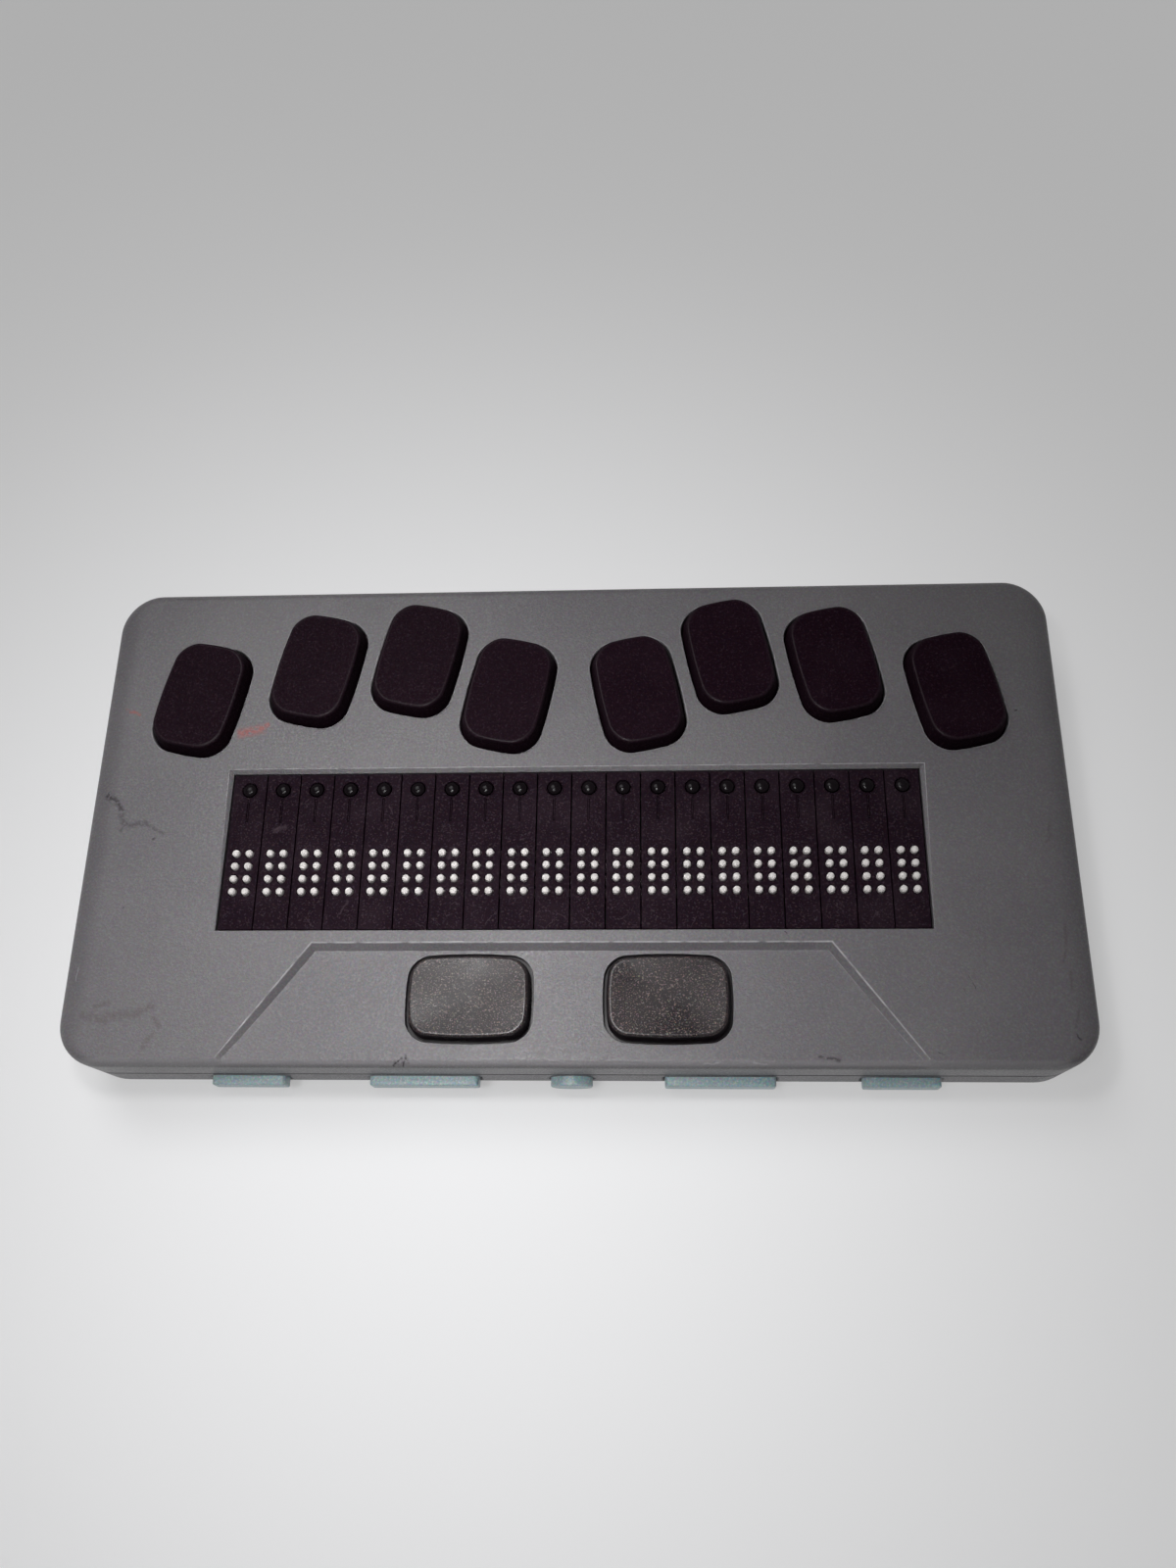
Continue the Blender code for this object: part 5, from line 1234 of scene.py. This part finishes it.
def lower_shell():
    """The tray's wall and rounded foot, the cover's seat, the battery's room and the block round it,
    the sockets of the feet, the screw holes and the posts, with flat fillings between them."""
    profile = [(inset, UNDER_Z + rise) for inset, rise in quarter(BOTTOM_EDGE, BOTTOM_EDGE_STEPS)]
    profile += [(0.0, PARTING_Z - SEAM_EDGE), (SEAM_EDGE, PARTING_Z)]
    profile += [(SIDE_WALL, PARTING_Z), (SIDE_WALL, FLOOR_Z)]
    walls = [level(case_ring(inset, inset, inset), z) for inset, z in profile]
    seat_z = COVER_TOP_Z + SEAT_GAP
    seat, mouth, block = (round_cover(SEAT_GAP + more) for more in (0.0, SEAT_EDGE, BAY_WALL))
    room = at_node("battery_pack", outline(*(BATTERY_SIZE + 2 * SEAT_GAP), BATTERY_CORNER))
    feet = [at_node(node, circle(FOOT_RADIUS + FOOT_SOCKET_GAP, sides=FOOT_SIDES)) for node in FEET]
    shanks = [at_node(node, circle(SCREW_RADIUS + SLIDE_GAP, sides=SHANK_SIDES)) for node in SCREWS]
    posts = [circle(POST_RADIUS, x, y, POST_SIDES) for x, y in POST_PLACES]
    shank_top = UNDER_Z + SCREW_HEAD_HEIGHT + SCREW_LENGTH + SEAT_GAP

    def plate(rim, holes, z):
        return filled(rim, [level(hole, z) for hole in holes])

    rim = [level(mouth, UNDER_Z), level(seat, UNDER_Z + SEAT_EDGE), level(seat, seat_z)]
    parts = [loft(walls, OPEN), plate(walls[0], [mouth] + feet, UNDER_Z), loft(rim, OPEN)]
    parts += [plate(rim[-1], [room] + shanks, seat_z), plate(walls[-1], [block] + posts, FLOOR_Z)]
    parts += [column(foot, UNDER_Z, UNDER_Z + FOOT_SOCKET_DEPTH) for foot in feet]
    parts += [column(shank, seat_z, shank_top) for shank in shanks]
    parts += [column(room, seat_z, BAY_TOP_Z - BAY_WALL), column(block, FLOOR_Z, BAY_TOP_Z)]
    return joined(parts + [column(post, FLOOR_Z, PARTING_Z) for post in posts])


low_shell = put("low_shell", lower_shell(), BASE_FINISH, nodes=["bottom_case"], slot="base_grey")
mouths = []
for centre, plan in thumb_plans:
    mouths.append(mouth_cutter(-2, FRONT_Y, centre, lambda grow, plan=plan: plan(grow + SEAT_GAP)))
middle, size = sized("usb_a_socket")
low, high = middle[2] - size[2] / 2 - SEAT_GAP, PARTING_Z + USB_A_PAST_SEAM
usb_a_open = bar_plan(size[1] + 2 * SEAT_GAP, high - low, USB_A_MOUTH_RADIUS)
mouths.append(mouth_cutter(-1, -WALL_X, (middle[1], (low + high) / 2), usb_a_open))
cut(low_shell, mouths)
print("lower shell:", len(low_shell.data.polygons), "faces,", len(mouths), "openings")

# %% [markdown]
# The underside shows a battery cover on two screws and four rubber feet. The cover is a plate with
# a small rounded edge and sunk screw seats. A screw and a foot are profiles spun round an upright
# axis, and the screw's cross slot is cut out afterwards.

# %% Cover, screws and feet
COVER_EDGE, SCREW_SEAT_EDGE = 0.0003, 0.0002
SLOT_LONG, SLOT_SHORT, SLOT_DEEP = 0.0030, 0.0006, 0.0005
THREAD_PITCH, THREAD_DEPTH, THREAD_START, THREAD_END = 0.0005, 0.00016, 0.0006, 0.0007
SCREW_TIP, SLOT_OVERSHOOT = 0.0006, 0.0010
SCREW_SIDES, SCREW_HOLE_SIDES = 24, 28
# Radius, and height over the head's face or the ground
SCREW_HEAD = ((0.0019, 0.0), (0.0022, 0.00008), (0.0024, 0.0003), (0.0024, SCREW_HEAD_HEIGHT))
FOOT_EDGE = ((0.0041, 0.0), (0.0046, 0.00006), (0.00482, 0.00022), (FOOT_RADIUS, 0.00045))


def spun(node, profile, sides):
    """Circles round a node's middle, each a radius and a height."""
    return [level(at_node(node, circle(radius, sides=sides)), z) for radius, z in profile]


def cover_plate():
    """Two levels with holes, the edge between them, and a stepped hole for each screw."""
    low = UNDER_Z + COVER_EDGE * 0.3
    steps = [(-COVER_EDGE, UNDER_Z), (-COVER_EDGE * 0.3, low)]
    steps += [(0.0, UNDER_Z + COVER_EDGE), (0.0, COVER_TOP_Z)]
    rings = [level(round_cover(grow), z) for grow, z in steps]
    seat = UNDER_Z + SCREW_HEAD_HEIGHT + SEAT_GAP
    wide, narrow = SCREW_HEAD_RADIUS + SLIDE_GAP, SCREW_RADIUS + SLIDE_GAP
    profile = [(wide + SCREW_SEAT_EDGE, UNDER_Z), (wide, UNDER_Z + SCREW_SEAT_EDGE), (wide, seat)]
    profile += [(narrow, seat), (narrow, COVER_TOP_Z)]
    holes = [spun(node, profile, SCREW_HOLE_SIDES) for node in SCREWS]
    parts = [loft(rings, OPEN), filled(rings[0], [hole[0] for hole in holes])]
    parts.append(filled(rings[-1], [hole[-1] for hole in holes]))
    return joined(parts + [loft(hole, OPEN) for hole in holes])


put("cover_plate", cover_plate(), BASE_FINISH, nodes=["battery_cover"], slot="base_grey")
head_top, core = UNDER_Z + SCREW_HEAD_HEIGHT, SCREW_RADIUS - THREAD_DEPTH
shank_end = head_top + SCREW_LENGTH
screw_profile = [(radius, UNDER_Z + height) for radius, height in SCREW_HEAD] + [(core, head_top)]
for z in np.arange(head_top + THREAD_START, shank_end - THREAD_END, THREAD_PITCH):
    screw_profile += [(core, z), (SCREW_RADIUS, z + THREAD_PITCH / 2)]
screw_profile += [(core, shank_end - SCREW_TIP), (SCREW_RADIUS / 2, shank_end)]
for node in SCREWS:
    shape = loft(spun(node, screw_profile, SCREW_SIDES))
    screw = put(node.replace("cover_", "") + "_body", shape, STEEL_FINISH, nodes=[node], slot="steel")
    for size in ((SLOT_LONG, SLOT_SHORT), (SLOT_SHORT, SLOT_LONG)):
        slot = at_node(node, outline(*size, SMALLEST_RADIUS, 0.0, 1, 1))
        cut(screw, [column(slot, UNDER_Z - SLOT_OVERSHOOT, UNDER_Z + SLOT_DEEP, caps=BOTH_FILLED)])
foot_profile = [*FOOT_EDGE, (FOOT_RADIUS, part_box(FEET[0])[1].z)]
for node in FEET:
    shape = loft(spun(node, foot_profile, FOOT_SIDES))
    put(node.replace("foot", "pad"), shape, RUBBER_FINISH, nodes=[node], slot="foot_rubber")
print("cover, screws and", len(FEET), "feet")

# %% [markdown]
# The sockets are open at the wall. Each is a tube drawn flat and then turned into its wall: the
# outline runs from the closed back to the mouth, over the lip and down into the blind hole. A
# plastic tongue stands in the two USB sockets, and a metal ring lines the audio jack.

# %% Sockets and status light
SOCKET_LIP = 0.0001
# Each socket: its wall, the width, height and corner radius of its body and of its hole, the
# hole's depth, and the slot and finish of its shell
SOCKETS = {
    "usb_c_socket": (-1, (0.0091, 0.0033, 0.00165), (0.0084, 0.0026, 0.0013), 0.0062, "steel", STEEL_FINISH),
    "usb_a_socket": (-1, (0.0136, 0.0052, 0.0005), (0.0126, 0.0045, 0.0003), 0.0120, "steel", STEEL_FINISH),
    "audio_jack": (1, (0.0062, 0.0048, 0.0006), (0.0036, 0.0036, 0.0018), 0.0105, "key_black", CELL_FINISH),
    "card_socket": (2, (0.0142, 0.0018, 0.0003), (0.0116, 0.0008, 0.0001), 0.0142, "steel", STEEL_FINISH),
}
# Each tongue: its width, height and corner radius, its rise over the middle, its two ends' depths
# and its finish
TONGUES = {
    "usb_c_socket": ((0.0067, 0.0007, 0.0001), 0.0, 0.0009, 0.0063, CELL_FINISH),
    "usb_a_socket": ((0.0112, 0.0018, 0.0001), 0.0009, 0.0012, 0.0121, DOT_FINISH),
}
RING_STEPS = (
    (-0.00008, 0.0006), (-0.00008, -0.0001), (0.0, -0.0002), (0.0004, -0.0002),
    (0.0005, -0.0001), (0.0005, 0.0002), (-0.00008, 0.0006),
)
PIPE_RADIUS = 0.00096
PIPE_STEPS = ((-0.0005, 0.0), (-0.00015, 0.00012), (0.0, 0.0004), (0.0, 0.0040))


def socket(node, side, body, hole, deep, slot, finish):
    """A tube in a wall: its outer outline, then its hole's outline down to the hole's end. What
    stands in it or lines it comes after it."""
    middle, size = sized(node)
    axis = 0 if abs(side) == 1 else 1
    wall = middle[axis] + np.sign(side) * size[axis] / 2
    x, z = middle[1 - axis], middle[2]
    body, hole = bar_plan(*body), bar_plan(*hole)
    rings = in_wall(side, wall, (x, z), body, ((0.0, size[axis]), (0.0, SOCKET_LIP), (-SOCKET_LIP, 0.0)))
    rings += in_wall(side, wall, (x, z), hole, ((SOCKET_LIP, 0.0), (0.0, SOCKET_LIP), (0.0, deep)))
    name = node.replace("_socket", "")
    put(name + "_shell", loft(rings), finish, nodes=[node], slot=slot)
    if node in TONGUES:
        plate, rise, start, end, plastic = TONGUES[node]
        steps = ((-SOCKET_LIP, start), (0.0, start + SOCKET_LIP), (0.0, end))
        put(name + "_tongue", loft(in_wall(side, wall, (x, z + rise), bar_plan(*plate), steps)), plastic)
    if node == "audio_jack":
        put(name + "_ring", loft(in_wall(side, wall, (x, z), hole, RING_STEPS), OPEN), STEEL_FINISH)


for node, spec in SOCKETS.items():
    socket(node, *spec)
pipe = bar_plan(2 * PIPE_RADIUS, 2 * PIPE_RADIUS, PIPE_RADIUS)
shape = loft(in_wall(-1, -WALL_X, light_centre, pipe, PIPE_STEPS))
put("status_light_pipe", shape, LIGHT_FINISH, nodes=["status_light"], slot="light_pipe")
print("sockets: USB-C, USB-A, audio jack and card slot, and one status light")

# %% [markdown]
# The main board with its switches, the board under the cells and the battery are hidden inside, so
# they keep the frame's own solids. Only their materials change here.

# %% Carried-over pieces
CARRIED = {
    "board_green": (["main_board", "cell_backplane"], (30, 92, 60), (60, 120, 84), 0.45, 0.0009, 0.00003),
    "battery_wrap": (["battery_pack"], (46, 58, 88), (70, 82, 110), 0.40, 0.0030, 0.00004),
}
for name, (nodes, *look) in CARRIED.items():
    finish = grainy(name, *look)
    for node in nodes:
        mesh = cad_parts[node].data
        mesh.materials.clear()
        mesh.materials.append(finish)
print("carried over:", [node for nodes, *_ in CARRIED.values() for node in nodes])
